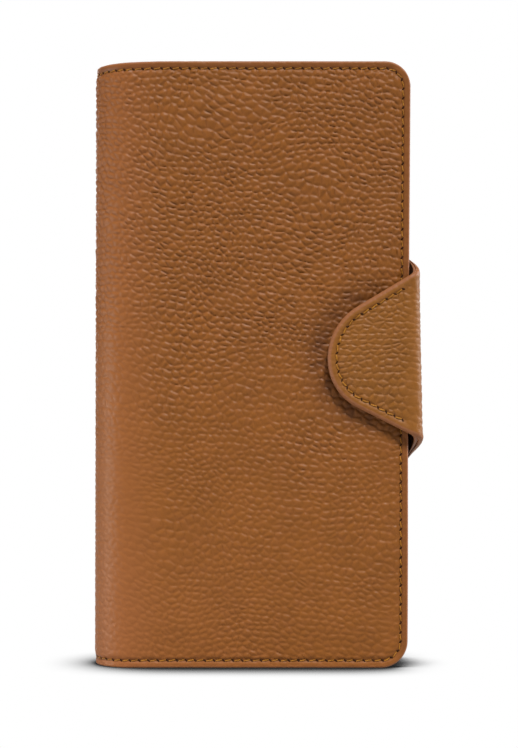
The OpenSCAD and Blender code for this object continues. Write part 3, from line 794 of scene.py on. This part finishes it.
def half_width(s):
    """Half of the strap's width past its tip, and how fast it grows."""
    straight = TAB_L + 1.5 * MM
    tangent = TIP_R * (1 - math.sin(SPREAD))
    flare_r = (ROOT_S - straight) / math.sin(SPREAD)
    line = TIP_R * math.cos(SPREAD) + (s - tangent) * math.tan(SPREAD)
    straight_w = TIP_R * math.cos(SPREAD) + (straight - tangent) * math.tan(SPREAD)
    left = np.clip(ROOT_S - s, 0, ROOT_S - straight)
    flare = straight_w - flare_r * math.cos(SPREAD) + np.sqrt(flare_r**2 - left**2)
    slope = np.where(s < straight, math.tan(SPREAD), left / np.sqrt(flare_r**2 - left**2))
    return np.where(s < straight, line, flare), slope


def strap_point(s, t, n):
    """Where a point of the strap lies, n outside its outer face, once it is laid round the covers."""
    front = np.clip((s - TAB_L) / BEND_MEAN, 0, math.pi / 2)
    back = np.clip((s - SIDE_S - SIDE_L) / BEND_MEAN, 0, math.pi / 2)
    r = BEND_R + n
    x = np.where(s < TAB_L, TIP_X + s, EDGE_X + r * np.sin(front))
    y = np.where(s < TAB_L, TAB_FRONT_Y - n, FRONT_BEND_Y - r * np.cos(front))
    x = np.where(s > SIDE_S, EDGE_X + r * np.cos(back), x)
    along_side = np.where(back > 0, BACK_BEND_Y + r * np.sin(back), FRONT_BEND_Y + s - SIDE_S)
    y = np.where(s > SIDE_S, along_side, y)
    x = np.where(s > ROOT_S, EDGE_X - (s - ROOT_S), x)
    y = np.where(s > ROOT_S, ROOT_BACK_Y + n, y)
    z = STRAP_Z + t - TAB_DOWN + TAB_TILT * np.minimum(s, TAB_L) - ROOT_DOWN * smooth(s, TAB_L, ROOT_S)
    slack = 1 + SLACK * np.clip((STRAP_Z - z) / SLACK_REACH, -1, 1)
    # the corners of its wide end hug the covers' edge
    slack = slack * (1 - 0.72 * smooth(np.abs(t), ROOT_W - 6.5 * MM, ROOT_W - 0.3 * MM))
    x = np.where(x > EDGE_X, EDGE_X + (x - EDGE_X) * slack, x)
    return np.stack([x, y, z], -1)


def strap_depth(s, t):
    """How far a point lies inside the strap's outline."""
    w, slope = half_width(s)
    d = (w - np.abs(t)) / np.sqrt(1 + slope**2)
    at_tip = (s < TIP_R) & (np.abs(t) * math.tan(SPREAD) < TIP_R - s)
    d = np.where(at_tip, TIP_R - np.hypot(TIP_R - s, t), d)
    return np.where(s > ROOT_S, inside(STRAP_L - s, w - t, w + t, ROOT_R, ROOT_R), d)


def strap_height(s, t):
    """Height of the strap's outer leather over its flat place, the shade painted in its creases, and where
    its edge is painted.
    """
    d = strap_depth(s, t)
    soft = np.clip(0.34 + 0.2 * value_noise(s, t, 14 * MM, 71), 0, 0.9)
    soft = np.maximum(soft, 0.9 * (1 - smooth(d, STRAP_INSET - 0.2 * MM, STRAP_INSET + 1.2 * MM)))
    # the grain is stretched flat round the side
    round_side = smooth(s, TAB_L - 4 * MM, TAB_L + 1 * MM) * (1 - smooth(s, ROOT_S, ROOT_S + 4 * MM))
    soft = np.maximum(soft, 0.75 * round_side)
    height, crease = grain(s + 0.3, t + 0.1, soft, 23)
    at_tab, at_root = 1 - smooth(s, TAB_L - 3 * MM, TAB_L + 0.5 * MM), smooth(s, ROOT_S, ROOT_S + 3 * MM)
    sewn = np.where(s < TAB_L + 4 * MM, at_tab, at_root)
    groove = -0.3 * np.exp(-(((d - STRAP_INSET) / (0.5 * MM)) ** 2)) * sewn
    crown = 0.4 * smooth(d, STRAP_INSET, 10 * MM) * sewn
    rim = 0.12 * np.exp(-(((d - 1.5 * MM) / (0.7 * MM)) ** 2))
    height = height + (groove + crown + rim + 0.1 * value_noise(s, t, 12 * MM, 72)) * MM
    paint = 1 - smooth(d, STRAP_ROUND, STRAP_ROUND + 0.35 * MM)
    return height, crease * (1 - paint), paint


def strap_piece(name, at_tab, face, back, rounding, set_in, size, step):
    """One half of a layer of the strap: its tab up to the middle of its side, or the rest with its root."""
    out = 1 if face > back else -1
    w_side = float(half_width(SIDE_MID)[0])
    across = np.linspace(-1, 1, step * round(2 * w_side / size / step) + 1)[:, None]
    if at_tab:
        rest = spaced(TAB_L, SIDE_MID, size, 1)
        count = round(TAB_L / size)
        count += -(count + len(rest) - 1) % step
        share = np.linspace(0, 1, count + 1)[None, :-1]
    else:
        corner = np.linspace(0, math.pi / 2, 13)[1:]
        rest = spaced(SIDE_MID, STRAP_L - ROOT_R, size, step)

    def at(inset):
        inset = inset + set_in
        w, slope = half_width(rest)
        s_rest = rest[None, :] + 0 * across
        t_rest = across * (w - inset * np.sqrt(1 + slope**2))
        if at_tab:
            phi = across * (math.pi / 2 - SPREAD)
            tip_s = TIP_R - (TIP_R - inset) * np.cos(phi)
            tip_t = (TIP_R - inset) * np.sin(phi)
            s = tip_s * (1 - share) + TAB_L * share
            t = tip_t * (1 - share) + t_rest[:, :1] * share
            return np.concatenate([s, s_rest], 1), np.concatenate([t, t_rest], 1)
        s = STRAP_L - ROOT_R + (ROOT_R - inset) * np.sin(corner) + 0 * across
        t = across * (w[-1] - ROOT_R + (ROOT_R - inset) * np.cos(corner))
        return np.concatenate([s_rest, s], 1), np.concatenate([t_rest, t], 1)

    s, t = at(rounding)
    if out > 0:
        height, crease, paint = strap_height(s, t)
    else:
        height, crease, paint = 0.04 * MM * value_noise(s, t, 6 * MM, 73), np.zeros_like(s), np.zeros_like(s)
    edge = rim_of(height)
    loops = rounded(rounding, (25, 50, 75, 90), lambda c: face + out * (edge * c - rounding * (1 - c)))
    loops += [(0, back + out * 0.12 * MM), (0.12 * MM, back)]
    floats = {"crease": crease, "warm": np.zeros_like(s), "paint": paint}
    top = face + out * height
    return shell(name, at, strap_point, (s, t), top, loops, (0.3 * MM, back), step, floats, True)


def strap_layer(layer, face, back, rounding, set_in, size, material):
    """The leather or the lining of the strap, in two halves that meet at the middle of its side."""
    tab = strap_piece("closing_tab_" + layer, True, face, back, rounding, set_in, size, 4)
    root = strap_piece("closing_root_" + layer, False, face, back, rounding, set_in, size, 4)
    for made, nodes in ((tab, ("tab_", "strap_side_")), (root, ("strap_root_", "strap_side_"))):
        stand_in(made, "strap_" + layer, [node + layer for node in nodes], material)
    front_bend, tab_start = (STRAP_OUT_X, FRONT_BEND_Y, 0), (EDGE_X, TAB_FRONT_Y, 0)
    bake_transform(tab)
    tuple(front_bend)
    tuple(tab_start)
    root_end, back_bend = (EDGE_X, ROOT_BACK_Y, 0), (STRAP_OUT_X, BACK_BEND_Y, 0)
    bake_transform(root)
    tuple(root_end)
    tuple(back_bend)


# --- stitching ---


def resample(points):
    """Evenly spaced places on a line: how far along it each is, where it lies, and the line's direction."""
    points = np.asarray(points, float)
    run = np.concatenate([[0], np.cumsum(np.hypot(*np.diff(points, axis=0).T))])
    at = np.linspace(0, run[-1], 4000)
    line = np.stack([np.interp(at, run, points[:, 0]), np.interp(at, run, points[:, 1])], -1)
    return at, line, np.unwrap(np.arctan2(*np.gradient(line, axis=0).T[::-1]))


def tube_quads(count, rings, sides):
    """The faces of many closed tubes, each of so many rings."""
    base = np.arange(count)[:, None] * rings * sides
    r, k = np.meshgrid(np.arange(rings - 1), np.arange(sides), indexing="ij")
    first = (r * sides + k).ravel()
    second = (r * sides + (k + 1) % sides).ravel()
    wall = np.stack([first, second, second + sides, first + sides], -1)
    end = (rings - 1) * sides
    caps = [[3, 2, 1, 0], [7, 4, 3, 0], [7, 6, 5, 4]]
    caps += [[end + c for c in reversed(cap)] for cap in caps]
    quads = np.concatenate([wall, np.array(caps)])
    return (base[:, :, None] + quads[None]).reshape(-1, 4)


SIDES = 8
ROUND = np.arange(SIDES) * 2 * math.pi / SIDES
RINGS = np.linspace(-1, 1, 11)[None, :, None]


def thread_shape(gap, thick, loose, wobble):
    """Places along, across and above the seam for the thread of each stitch, which dives in at both ends."""
    r = thick * (1 - 0.35 * np.abs(RINGS) ** 5)
    across = THREAD_SLANT * RINGS + r * np.cos(ROUND) + 0.03 * MM * wobble[0]
    lift = (0.12 + loose) * MM - 0.4 * MM * np.abs(RINGS) ** 4
    return gap * THREAD_SPAN * RINGS, across, lift + r * np.sin(ROUND) + 0.03 * MM * wobble[1]


def hole_shape():
    """Places along, across and above the seam for the slanted dark mark of painted shade in each awl hole."""
    r = np.sqrt(np.maximum(1 - RINGS * RINGS, 0.01))
    long, wide = HOLE_LONG * RINGS, HOLE_WIDE * r * np.cos(ROUND)
    along = long * math.cos(HOLE_SLANT) - wide * math.sin(HOLE_SLANT)
    across = long * math.sin(HOLE_SLANT) + wide * math.cos(HOLE_SLANT)
    return along, across, 0.04 * MM + 0.17 * MM * r * np.sin(ROUND)


def stitches(name, line, place, surface, keep=None, pitch=STITCH_PITCH, thick=THREAD_R, loose=0.0):
    """A row of saddle stitches along a line on the flat leather: slanted awl holes, each a dark mark of
    painted shade, with thread between.
    """
    run, line, heading = resample(line)
    count = int(round(run[-1] / pitch))
    gap = run[-1] / count
    middles = (np.arange(count) + 0.5) * gap
    rng = np.random.default_rng(len(name) * 7 + count)
    if keep is not None:
        middles = middles[keep(*(np.interp(middles, run, line[:, k]) for k in (0, 1)))]
    holes = np.concatenate([middles - gap / 2, middles[-1:] + gap / 2])
    thread = thread_shape(gap, thick, loose, rng.uniform(-1, 1, (2, len(middles), 1, 1)))
    points, quads, uvs, kinds, total = [], [], [], [], 0
    for kind, (at, shape) in enumerate(((middles, thread), (holes, hole_shape()))):
        along, across, above, at = np.broadcast_arrays(*shape, at[:, None, None])
        at = at + along
        # past the line's ends the seam goes straight on
        over = np.clip(at, 0, run[-1]) - at
        angle = np.interp(at, run, heading)
        u = np.interp(at, run, line[:, 0]) - across * np.sin(angle) - over * np.cos(angle)
        v = np.interp(at, run, line[:, 1]) + across * np.cos(angle) - over * np.sin(angle)
        points.append(place(u, v, surface(u, v) + above).reshape(-1, 3))
        uvs.append(np.stack([at, ROUND * thick * 1.6 + 0 * at], -1).reshape(-1, 2))
        quads.append(tube_quads(*at.shape) + total)
        kinds.append(np.full(len(quads[-1]), kind))
        total += at.size
    points, quads, uvs, kinds = (np.concatenate(parts) for parts in (points, quads, uvs, kinds))
    made = new_object(name, lean(points), quads, (), uvs, None, kinds)
    dress(facing_out(made), THREAD, HOLE_SHADE)
    return made


def arc(cu, cv, r, start, stop, steps=24):
    a = np.radians(np.linspace(start, stop, steps))
    return [(cu + r * math.cos(x), cv + r * math.sin(x)) for x in a]


def cover_seam():
    """The seam round the whole flat leather, clockwise from the back cover's upper corner."""
    near, far = -SPINE_L - COVER_L, COVER_L
    top, low = TOP_R - STITCH_INSET, LOW_R - STITCH_INSET
    line = arc(near + TOP_R, HEIGHT - TOP_R, top, 180, 90)
    line += arc(far - TOP_R, HEIGHT - TOP_R, top, 90, 0)
    line += arc(far - LOW_R, LOW_R, low, 0, -90)
    line += arc(near + LOW_R, LOW_R, low, -90, -180)
    return line + line[:1]


SEAM = cover_seam()


def seam_piece(part):
    """The stitches of the cover seam that lie on one piece of the leather."""

    def keep(u, v):
        # the seam is hidden where the strap's root lies over it
        under_root = (u < -SPINE_L - (COVER_L - 3 * MM)) & (np.abs(v - STRAP_Z) < ROOT_W)
        return (u >= part.low) & (u < part.high) & ~under_root

    made = stitches("thread_" + part.name, SEAM, wrap, lambda u, v: cover_height(u, v, part.front)[0], keep)
    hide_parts(*part.stands_for("stitching"))
    part.join(made)


for part in PARTS:
    seam_piece(part)

strap_layer("leather", 0.0, -STRAP_LEATHER_T, STRAP_ROUND, 0.0, 0.3 * MM, STRAP)
strap_layer("lining", -STRAP_T, -STRAP_LEATHER_T, 0.3 * MM, 0.25 * MM, 0.8 * MM, INNER_STRAP)


def tab_seam():
    """Round the tab from the end of its lower seam to the end of its upper one."""
    end_s = TAB_L - 2 * MM
    r = TIP_R - STRAP_INSET
    end_t = float(half_width(end_s)[0]) - STRAP_INSET / math.cos(SPREAD)
    half = 90 - math.degrees(SPREAD)
    return [(end_s, -end_t)] + arc(TIP_R, 0, r, 180 + half, 180 - half, 48) + [(end_s, end_t)]


def root_seam():
    """From the upper edge of the strap's root round its end to the lower edge."""
    w, r = ROOT_W - STRAP_INSET, ROOT_R - STRAP_INSET
    start, end = ROOT_S + 1 * MM, STRAP_L - ROOT_R
    return [(start, w)] + arc(end, w - r, r, 90, 0) + arc(end, r - w, r, 0, -90) + [(start, -w)]


def on_strap(s, t):
    return strap_height(s, t)[0]


for name, line, node, body in (
    ("thread_tab", tab_seam(), "tab_stitching", "strap_tab"),
    ("thread_root", root_seam(), "strap_root_stitching", "back_cover"),
):
    made = stitches(name, line, strap_point, on_strap, thick=STRAP_THREAD_R, loose=0.05)
    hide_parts(node)
    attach(made, body)


# --- linings ---
# Each lining is glued to its board, and is drawn down to the outer leather along the sewn edges.


GLUE_T = 0.03 * MM


def lining_face(u, v, front):
    """How deep under the leather's outer face the lining's glued side lies."""
    deep = BACK_SINK
    if front:
        deep = BACK_SINK + (FRONT_SINK - BACK_SINK) * smooth(u, -QUARTER, -0.5 * MM)
    d = from_edge(u, v)
    return LEATHER_T + GLUE_T + (deep - LEATHER_T - GLUE_T) * smooth(d, 0.5 * MM, 1.9 * MM)


def lining_piece(part):
    """One piece of the lining, with a turned edge."""
    size, step = 0.7 * MM, 2
    ends = np.array([0, 0.35, 0.7, 1.1, 1.5]) * MM
    rows = np.concatenate([ends, np.linspace(2 * MM, HEIGHT - 2 * MM, 260), HEIGHT - ends[::-1]])
    flat_at = part.grid(paired(rows), size, step, 16)

    def at(inset):
        return flat_at(inset + LINING_INSET)

    def level(share):
        return lambda u, v: -(lining_face(u, v, part.front) + LINING_T * share)

    u, v = at(0.2 * MM)
    top = lining_face(u, v, part.front) + LINING_T - 0.02 * MM * value_noise(u, v, 9 * MM, 81)
    loops = [(0.06 * MM, level(0.8)), (0, level(0.5)), (0.06 * MM, level(0.2)), (0.2 * MM, level(0))]
    name, floats = "cloth_" + part.name, {"crease": np.zeros_like(u), "paint": np.zeros_like(u)}
    made = shell(name, at, wrap, (u, v), -top, loops, (0.2 * MM, level(0)), step, floats)
    stand_in(made, "lining_fabric", part.stands_for("lining"), LINING)
    part.join(made)
    return made


cloth = {part.name: lining_piece(part) for part in PARTS}


# --- pockets ---


SEWN = 2.0 * MM
MOUTH_LINE = 1.7 * MM
POCKET_PITCH = 3.1 * MM
POCKET_THREAD_R = 0.17 * MM
POCKET_R = 3 * MM
BILL_R = 6 * MM
CARD_STEP = 10.5 * MM
CARD_SEAM_END = 3.4 * MM


class Panel:
    """A flat leather piece in a CAD plate's place, with rounded edges and pressed lines on its open face."""

    def __init__(self, node, body, facing, radius=POCKET_R, middle_line=False):
        self.node, self.body, self.facing, self.radius = node, body, facing, radius
        self.low, self.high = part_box(node)
        self.width, self.height = self.high.x - self.low.x, self.high.z - self.low.z
        self.thick = self.high.y - self.low.y
        self.face_y = self.low.y if facing < 0 else self.high.y
        middle = [self.height / 2] if middle_line else []
        self.lines = [SEWN, *middle, self.height - SEWN]

    def place(self, u, v, n):
        return np.stack([self.low.x + u, self.face_y + self.facing * n + 0 * u, self.low.z + v], -1)

    def relief(self, u, v):
        """A pressed line along the mouth and along each seam, and slightly uneven leather."""
        mouth = self.width - u
        n = -0.13 * np.exp(-(((mouth - MOUTH_LINE) / (0.3 * MM)) ** 2))
        for z in self.lines:
            n = n - 0.16 * np.exp(-(((v - z) / (0.5 * MM)) ** 2))
        depth = np.minimum(inside(mouth, self.height - v, v, self.radius, self.radius), u)
        edge = -0.1 * (1 - smooth(depth, 0, 1.4 * MM))
        return (n + edge - 0.03 + 0.03 * value_noise(u, v, 13 * MM, 91)) * MM

    def build(self, name):
        size, step, rounding = 0.9 * MM, 2, 0.3 * MM
        columns = paired(rounded_columns(self.radius, 8, self.width, size, step, fine_stop=True))
        by_the_lines = [z + k * 0.25 * MM for z in self.lines for k in range(-3, 4)]
        rows = np.unique(np.concatenate([spaced(0, self.height, size, 1, True, True), by_the_lines]))
        rows = rows[: len(rows) - (len(rows) - 1) % step]
        rows[-1] = self.height

        def at(inset):
            u, v = cover_grid(columns, rows, inset, self.radius, self.radius, self.width, self.height)
            return np.maximum(u, inset), v

        u, v = at(rounding)
        n = self.relief(u, v)
        edge = rim_of(n)
        loops = rounded(rounding, (30, 60, 90), lambda cosine: edge - rounding * (1 - cosine))
        loops += [(0, -self.thick + 0.1 * MM), (0.1 * MM, -self.thick)]
        floats, back = {"crease": np.zeros_like(u), "paint": np.zeros_like(u)}, (0.15 * MM, -self.thick)
        made = shell(name, at, self.place, (u, v), n, loops, back, step, floats, True)
        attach(stand_in(made, "pocket_leather", [self.node], POCKET), self.body)

    def sew(self, name, line):
        seam = stitches(name, line, self.place, self.relief, pitch=POCKET_PITCH, thick=POCKET_THREAD_R)
        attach(seam, self.body)


for cover, facing in (("front", 1), ("back", -1)):
    for row in (1, 2, 3):
        panel = Panel(f"{cover}_card_pocket_{row}", cover + "_cover", facing, middle_line=True)
        panel.build(f"card_slot_{cover}_{row}")
        # only the first pocket is sewn over its whole width, and the others where they show past it
        start = SEWN if row == 1 else panel.width - CARD_STEP
        for k, z in enumerate(panel.lines, 1):
            panel.sew(f"card_seam_{cover}_{row}_{k}", [(start, z), (panel.width - CARD_SEAM_END, z)])

Panel("bill_wall", "back_cover", -1, BILL_R).build("bill_pocket_wall")
for facing, side in ((-1, "front"), (1, "back")):
    wall = Panel("coin_wall_" + side, "coin_page", facing)
    wall.build("coin_pocket_" + side)
    corner_u, high_v, r = wall.width - POCKET_R, wall.height - POCKET_R, POCKET_R - SEWN
    line = [(SEWN, SEWN), (corner_u, SEWN)] + arc(corner_u, POCKET_R, r, -90, 0, 8)
    line += arc(corner_u, high_v, r, 0, 90, 8) + [(SEWN, wall.height - SEWN)]
    wall.sew("coin_seam_" + side, line)


# --- strips and foam ---


def strip(name, low, high, along, material, slot_name, body, nodes, bow=None, rounding=0.35):
    """A soft strip from corner low to corner high, with rounded edges. bow may bend its cross-section."""
    axes = [k for k in range(3) if k != along]
    half = [(high[k] - low[k]) / 2 for k in axes]
    centre = [(high[k] + low[k]) / 2 for k in range(3)]
    r = min(half) * 2 * rounding
    rim = []
    for quarter_turn, (sp, sq) in enumerate(((1, 1), (-1, 1), (-1, -1), (1, -1))):
        for a in np.radians(np.linspace(0, 90, 4) + 90 * quarter_turn):
            rim.append((sp * (half[0] - r) + r * math.cos(a), sq * (half[1] - r) + r * math.sin(a)))
    # points along the profile's sides, so that it can bow
    ring = []
    for (p0, q0), (p1, q1) in zip(rim, rim[1:] + rim[:1]):
        steps = max(1, round(math.hypot(p1 - p0, q1 - q0) / (0.5 * MM)))
        ring += [(p0 + (p1 - p0) * k / steps, q0 + (q1 - q0) * k / steps) for k in range(steps)]
    ring = np.array(ring)
    length = high[along] - low[along]
    ends = np.array([0, 0.15, 0.35]) * r
    middle = np.linspace(ends[-1], length - ends[-1], max(3, round(length / MM)))
    places = np.concatenate([ends[:-1], middle, length - ends[-2::-1]])
    # its ends are rounded too
    shrink = 1 - 0.35 * np.clip(1 - np.minimum(places, length - places) / r / 0.35, 0, 1) ** 2
    count = len(ring)
    pq = ring[None] * shrink[:, None, None]
    if bow is not None:
        pq = bow(pq, half)
    points = np.zeros((len(places), count, 3))
    points[..., along] = low[along] + places[:, None]
    for k, axis in enumerate(axes):
        points[..., axis] = centre[axis] + pq[..., k]
    run = np.concatenate([[0], np.cumsum(np.hypot(*np.diff(ring, axis=0).T))])
    uv = np.stack([places[:, None] + 0 * run, run[None] + 0 * places[:, None]], -1)
    i = np.arange(len(places) * count).reshape(len(places), count)
    quads = np.stack([i[:-1], np.roll(i, -1, 1)[:-1], np.roll(i, -1, 1)[1:], i[1:]], -1).reshape(-1, 4)
    middles = [points[0].mean(0), points[-1].mean(0)]
    flat = np.concatenate([points.reshape(-1, 3), middles])
    uv = np.concatenate([uv.reshape(-1, 2), np.zeros((2, 2))])
    first, last, m = i[0], i[-1], len(flat) - 2
    tris = [np.stack([np.roll(first, -1), first, np.full(count, m)], 1)]
    tris += [np.stack([last, np.roll(last, -1), np.full(count, m + 1)], 1)]
    paint = {"paint": np.zeros(len(flat))}
    made = facing_out(new_object(name, lean(flat), quads, np.concatenate(tris), uv, paint))
    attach(stand_in(made, slot_name, nodes, material), body)


def fold_inwards(axis, depth):
    """A gusset's middle is folded in, so that it closes flat."""

    def bow(pq, half):
        other = 1 - axis
        across = np.clip(pq[..., other] / half[other], -1, 1)
        pq = pq.copy()
        pq[..., axis] += depth * (1 - across**2)
        return pq

    return bow


BILL_FOLD = 1.2 * MM
COIN_FOLD = 0.8 * MM
AS_POCKET, AS_CLOTH, AS_TAPE = (POCKET, "pocket_leather"), (LINING, "lining_fabric"), (TAPE, "zip_tape")
for name, node, along, looks, body, fold in (
    ("bill_fold_top", "bill_gusset_top", 0, AS_POCKET, "back_cover", fold_inwards(1, -BILL_FOLD)),
    ("bill_fold_bottom", "bill_gusset_bottom", 0, AS_POCKET, "back_cover", fold_inwards(1, BILL_FOLD)),
    ("bill_fold_spine", "bill_gusset_spine", 2, AS_POCKET, "back_cover", fold_inwards(0, BILL_FOLD)),
    ("coin_fold_top", "coin_gusset_top", 0, AS_CLOTH, "coin_page", fold_inwards(1, -COIN_FOLD)),
    ("coin_fold_bottom", "coin_gusset_bottom", 0, AS_CLOTH, "coin_page", fold_inwards(1, COIN_FOLD)),
):
    strip(name, *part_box(node), along, *looks, body, [node], fold)
for side in ("front", "back"):
    node = "zip_tape_" + side
    strip("zip_band_" + side, *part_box(node), 2, *AS_TAPE, "coin_page", [node], rounding=0.2)

# the coin pocket's closed side: a web that is sewn into the spine, and the pocket's back edge
fold_low, fold_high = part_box("coin_fold")
coin_low, coin_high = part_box("coin_wall_front")[0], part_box("coin_wall_back")[1]
wall_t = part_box("coin_wall_front")[1].y - coin_low.y
coin_y = (coin_low.y + coin_high.y) / 2
back_x = coin_low.x - wall_t
web_high = (back_x + 0.3 * MM, coin_y + wall_t, fold_high.z)
looks = (*AS_POCKET, "coin_page", ["coin_fold"])
strip("coin_web", (fold_low.x, coin_y - wall_t, fold_low.z), web_high, 2, *looks)
strip("coin_back", (back_x, coin_low.y, fold_low.z), (coin_low.x, coin_high.y, fold_high.z), 2, *looks)


def foam_pad():
    """The soft layer under the front leather, thinner towards its edges and round the snap."""
    low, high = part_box("front_padding")
    width, height, size, top_r, low_r = high.x - low.x, high.z - low.z, 1.2 * MM, 3 * MM, 4 * MM
    columns = paired(rounded_columns(low_r, 6, width, size, 2, fine_stop=True))
    rows = spaced(0, height, size, 2, True, True)

    def at(inset):
        u, v = cover_grid(columns, rows, inset, top_r, low_r, width, height)
        return low.x + np.maximum(u, inset), low.z + v

    def top(x, z):
        d = np.minimum(np.minimum(x - low.x, high.x - x), np.minimum(z - low.z, high.z - z))
        swell = 0.45 + 0.5 * smooth(d, 0, 9 * MM) + 0.03 * value_noise(x, z, 8 * MM, 95)
        hole = 1 - smooth(np.hypot(x - SNAP_X, z - STRAP_Z), 8.2 * MM, 11 * MM)
        return high.y - (high.y - low.y) * swell * (1 - 0.5 * hole)

    def level(share):
        return lambda x, z: high.y - (high.y - top(x, z)) * share

    def place(x, z, y):
        return np.stack([x, y, z], -1)

    x, z = at(0.3 * MM)
    loops = [(0.1 * MM, level(0.85)), (0, level(0.5)), (0.1 * MM, level(0.1)), (0.3 * MM, high.y)]
    back = (0.3 * MM, high.y)
    made = shell("foam_padding", at, place, (x, z), top(x, z), loops, back, 2, {"paint": np.zeros_like(x)})
    stand_in(made, "padding", ["front_padding"], FOAM)
    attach(made, "front_cover")


foam_pad()


# --- boards and metal: the CAD solids with softened edges ---


def finish_node(node, material, round_off, segments):
    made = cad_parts[node]
    dress(made, material)
    bevel = made.modifiers.new("edges", "BEVEL")
    bevel.width, bevel.segments = round_off, segments
    bevel.limit_method, bevel.angle_limit = "ANGLE", math.radians(40)
    bevel.use_clamp_overlap = True
    bevel.harden_normals = False
    made.data.shade_smooth()
    made.data.set_sharp_from_angle(angle=math.radians(35))


for node, material, round_off, segments in (
    ("front_board", BOARD, 0.12, 2),
    ("back_board", BOARD, 0.12, 2),
    ("zip_slider", METAL, 0.14, 3),
    ("zip_pull", METAL, 0.22, 3),
    ("zip_teeth", METAL, 0.12, 2),
    ("zip_stops", METAL, 0.18, 3),
    ("snap_socket", METAL, 0.12, 3),
    ("snap_stud", METAL, 0.16, 3),
    ("snap_washer", METAL, 0.08, 3),
    ("snap_magnet", STEEL, 0.1, 3),
):
    finish_node(node, material, round_off * MM, segments)


# --- camera, light and floor ---


LENS = 92.3
CAMERA_AWAY = 0.6
CAMERA_ASIDE = 2.65 * MM
CAMERA_Z = 92 * MM


def place_camera():
    data = bpy.data.cameras.new("camera")
    data.lens, data.sensor_width, data.clip_start = LENS, 36, 0.01
    camera = bpy.data.objects.new("camera", data)
    camera.location = ((SPINE_X + EDGE_X) / 2 + CAMERA_ASIDE, FRONT_Y - CAMERA_AWAY, CAMERA_Z)
    camera.rotation_euler = (math.pi / 2, 0, 0)
    bpy.context.scene.collection.objects.link(camera)
    bpy.context.scene.camera = camera


def place_light(name, kind, energy, place, target=(0, 0, 0.1), colour=(1, 1, 1), **settings):
    data = bpy.data.lights.new(name, kind)
    data.energy, data.color = energy, colour
    for key, value in settings.items():
        setattr(data, key, value)
    lamp = bpy.data.objects.new(name, data)
    lamp.location = place
    lamp.rotation_euler = (Vector(target) - Vector(place)).to_track_quat("-Z", "Y").to_euler()
    bpy.context.scene.collection.objects.link(lamp)


def place_lights():
    place_light("overhead", "SUN", 4.6, (0.25, -0.6, 1.0), colour=(1, 0.97, 0.91), angle=math.radians(14))
    low_left_light, warm = (-0.46, -0.12, 0.04), (1, 0.95, 0.86)
    place_light("side", "AREA", 1.5, low_left_light, (-0.05, 0, 0.02), warm, shape="SQUARE", size=0.12)
    # these two light the sides that the first view doesn't show
    place_light("right", "AREA", 7, (0.8, 0.3, 0.35), shape="SQUARE", size=0.5)
    place_light("back", "AREA", 7, (-0.25, 0.9, 0.4), shape="SQUARE", size=0.5)


def place_floor():
    """A pale floor that throws little light up. The camera sees it glowing evenly white, with a soft contact
    shadow painted from ambient occlusion.
    """
    s = 6.0
    floor = new_object("floor", np.array([[-s, -s, 0], [s, -s, 0], [s, s, 0], [-s, s, 0]]), [[0, 1, 2, 3]])
    m = Nodes("pale_floor")
    m.set(Roughness=0.95, Specular_IOR_Level=0.05)
    place = m.add("ShaderNodeTexCoord").outputs["Object"]
    m.finish(m.mix(m.noise(0.4, 2, place), (0.42, 0.42, 0.42), (0.45, 0.45, 0.45)))
    # the contact shadow is painted from ambient occlusion into the glow the camera sees
    near = m.add("ShaderNodeAmbientOcclusion", samples=32)
    near.inputs["Distance"].default_value = 24 * MM
    seen = m.add("ShaderNodeEmission")
    painted_contact_shadow = m.mix(m.ramp(near.outputs["AO"], 0.5, 0.96), (0.02, 0.02, 0.02), (1.0, 1.0, 1.0))
    m.link(painted_contact_shadow, seen.inputs["Color"])
    path, pick = m.add("ShaderNodeLightPath"), m.add("ShaderNodeMixShader")
    m.link(path.outputs["Is Camera Ray"], pick.inputs["Fac"])
    m.link(m.shader.outputs["BSDF"], pick.inputs[1])
    m.link(seen.outputs["Emission"], pick.inputs[2])
    m.link(pick.outputs["Shader"], m.tree.nodes["Material Output"].inputs["Surface"])
    dress(floor, m.material)


def place_world():
    """White behind everything, and a dimmer even light on the object."""
    world = bpy.data.worlds.new("studio")
    world.use_nodes = True
    tree = world.node_tree
    even, backdrop = tree.nodes["Background"], tree.nodes.new("ShaderNodeBackground")
    for node, strength in ((even, 0.3), (backdrop, 1.0)):
        node.inputs["Color"].default_value = (1, 1, 1, 1)
        node.inputs["Strength"].default_value = strength
    path, pick = tree.nodes.new("ShaderNodeLightPath"), tree.nodes.new("ShaderNodeMixShader")
    tree.links.new(path.outputs["Is Camera Ray"], pick.inputs["Fac"])
    tree.links.new(even.outputs["Background"], pick.inputs[1])
    tree.links.new(backdrop.outputs["Background"], pick.inputs[2])
    tree.links.new(pick.outputs["Shader"], tree.nodes["World Output"].inputs["Surface"])
    bpy.context.scene.world = world
    bpy.context.scene.view_settings.view_transform = "Standard"


place_camera()
place_floor()
place_world()
place_lights()
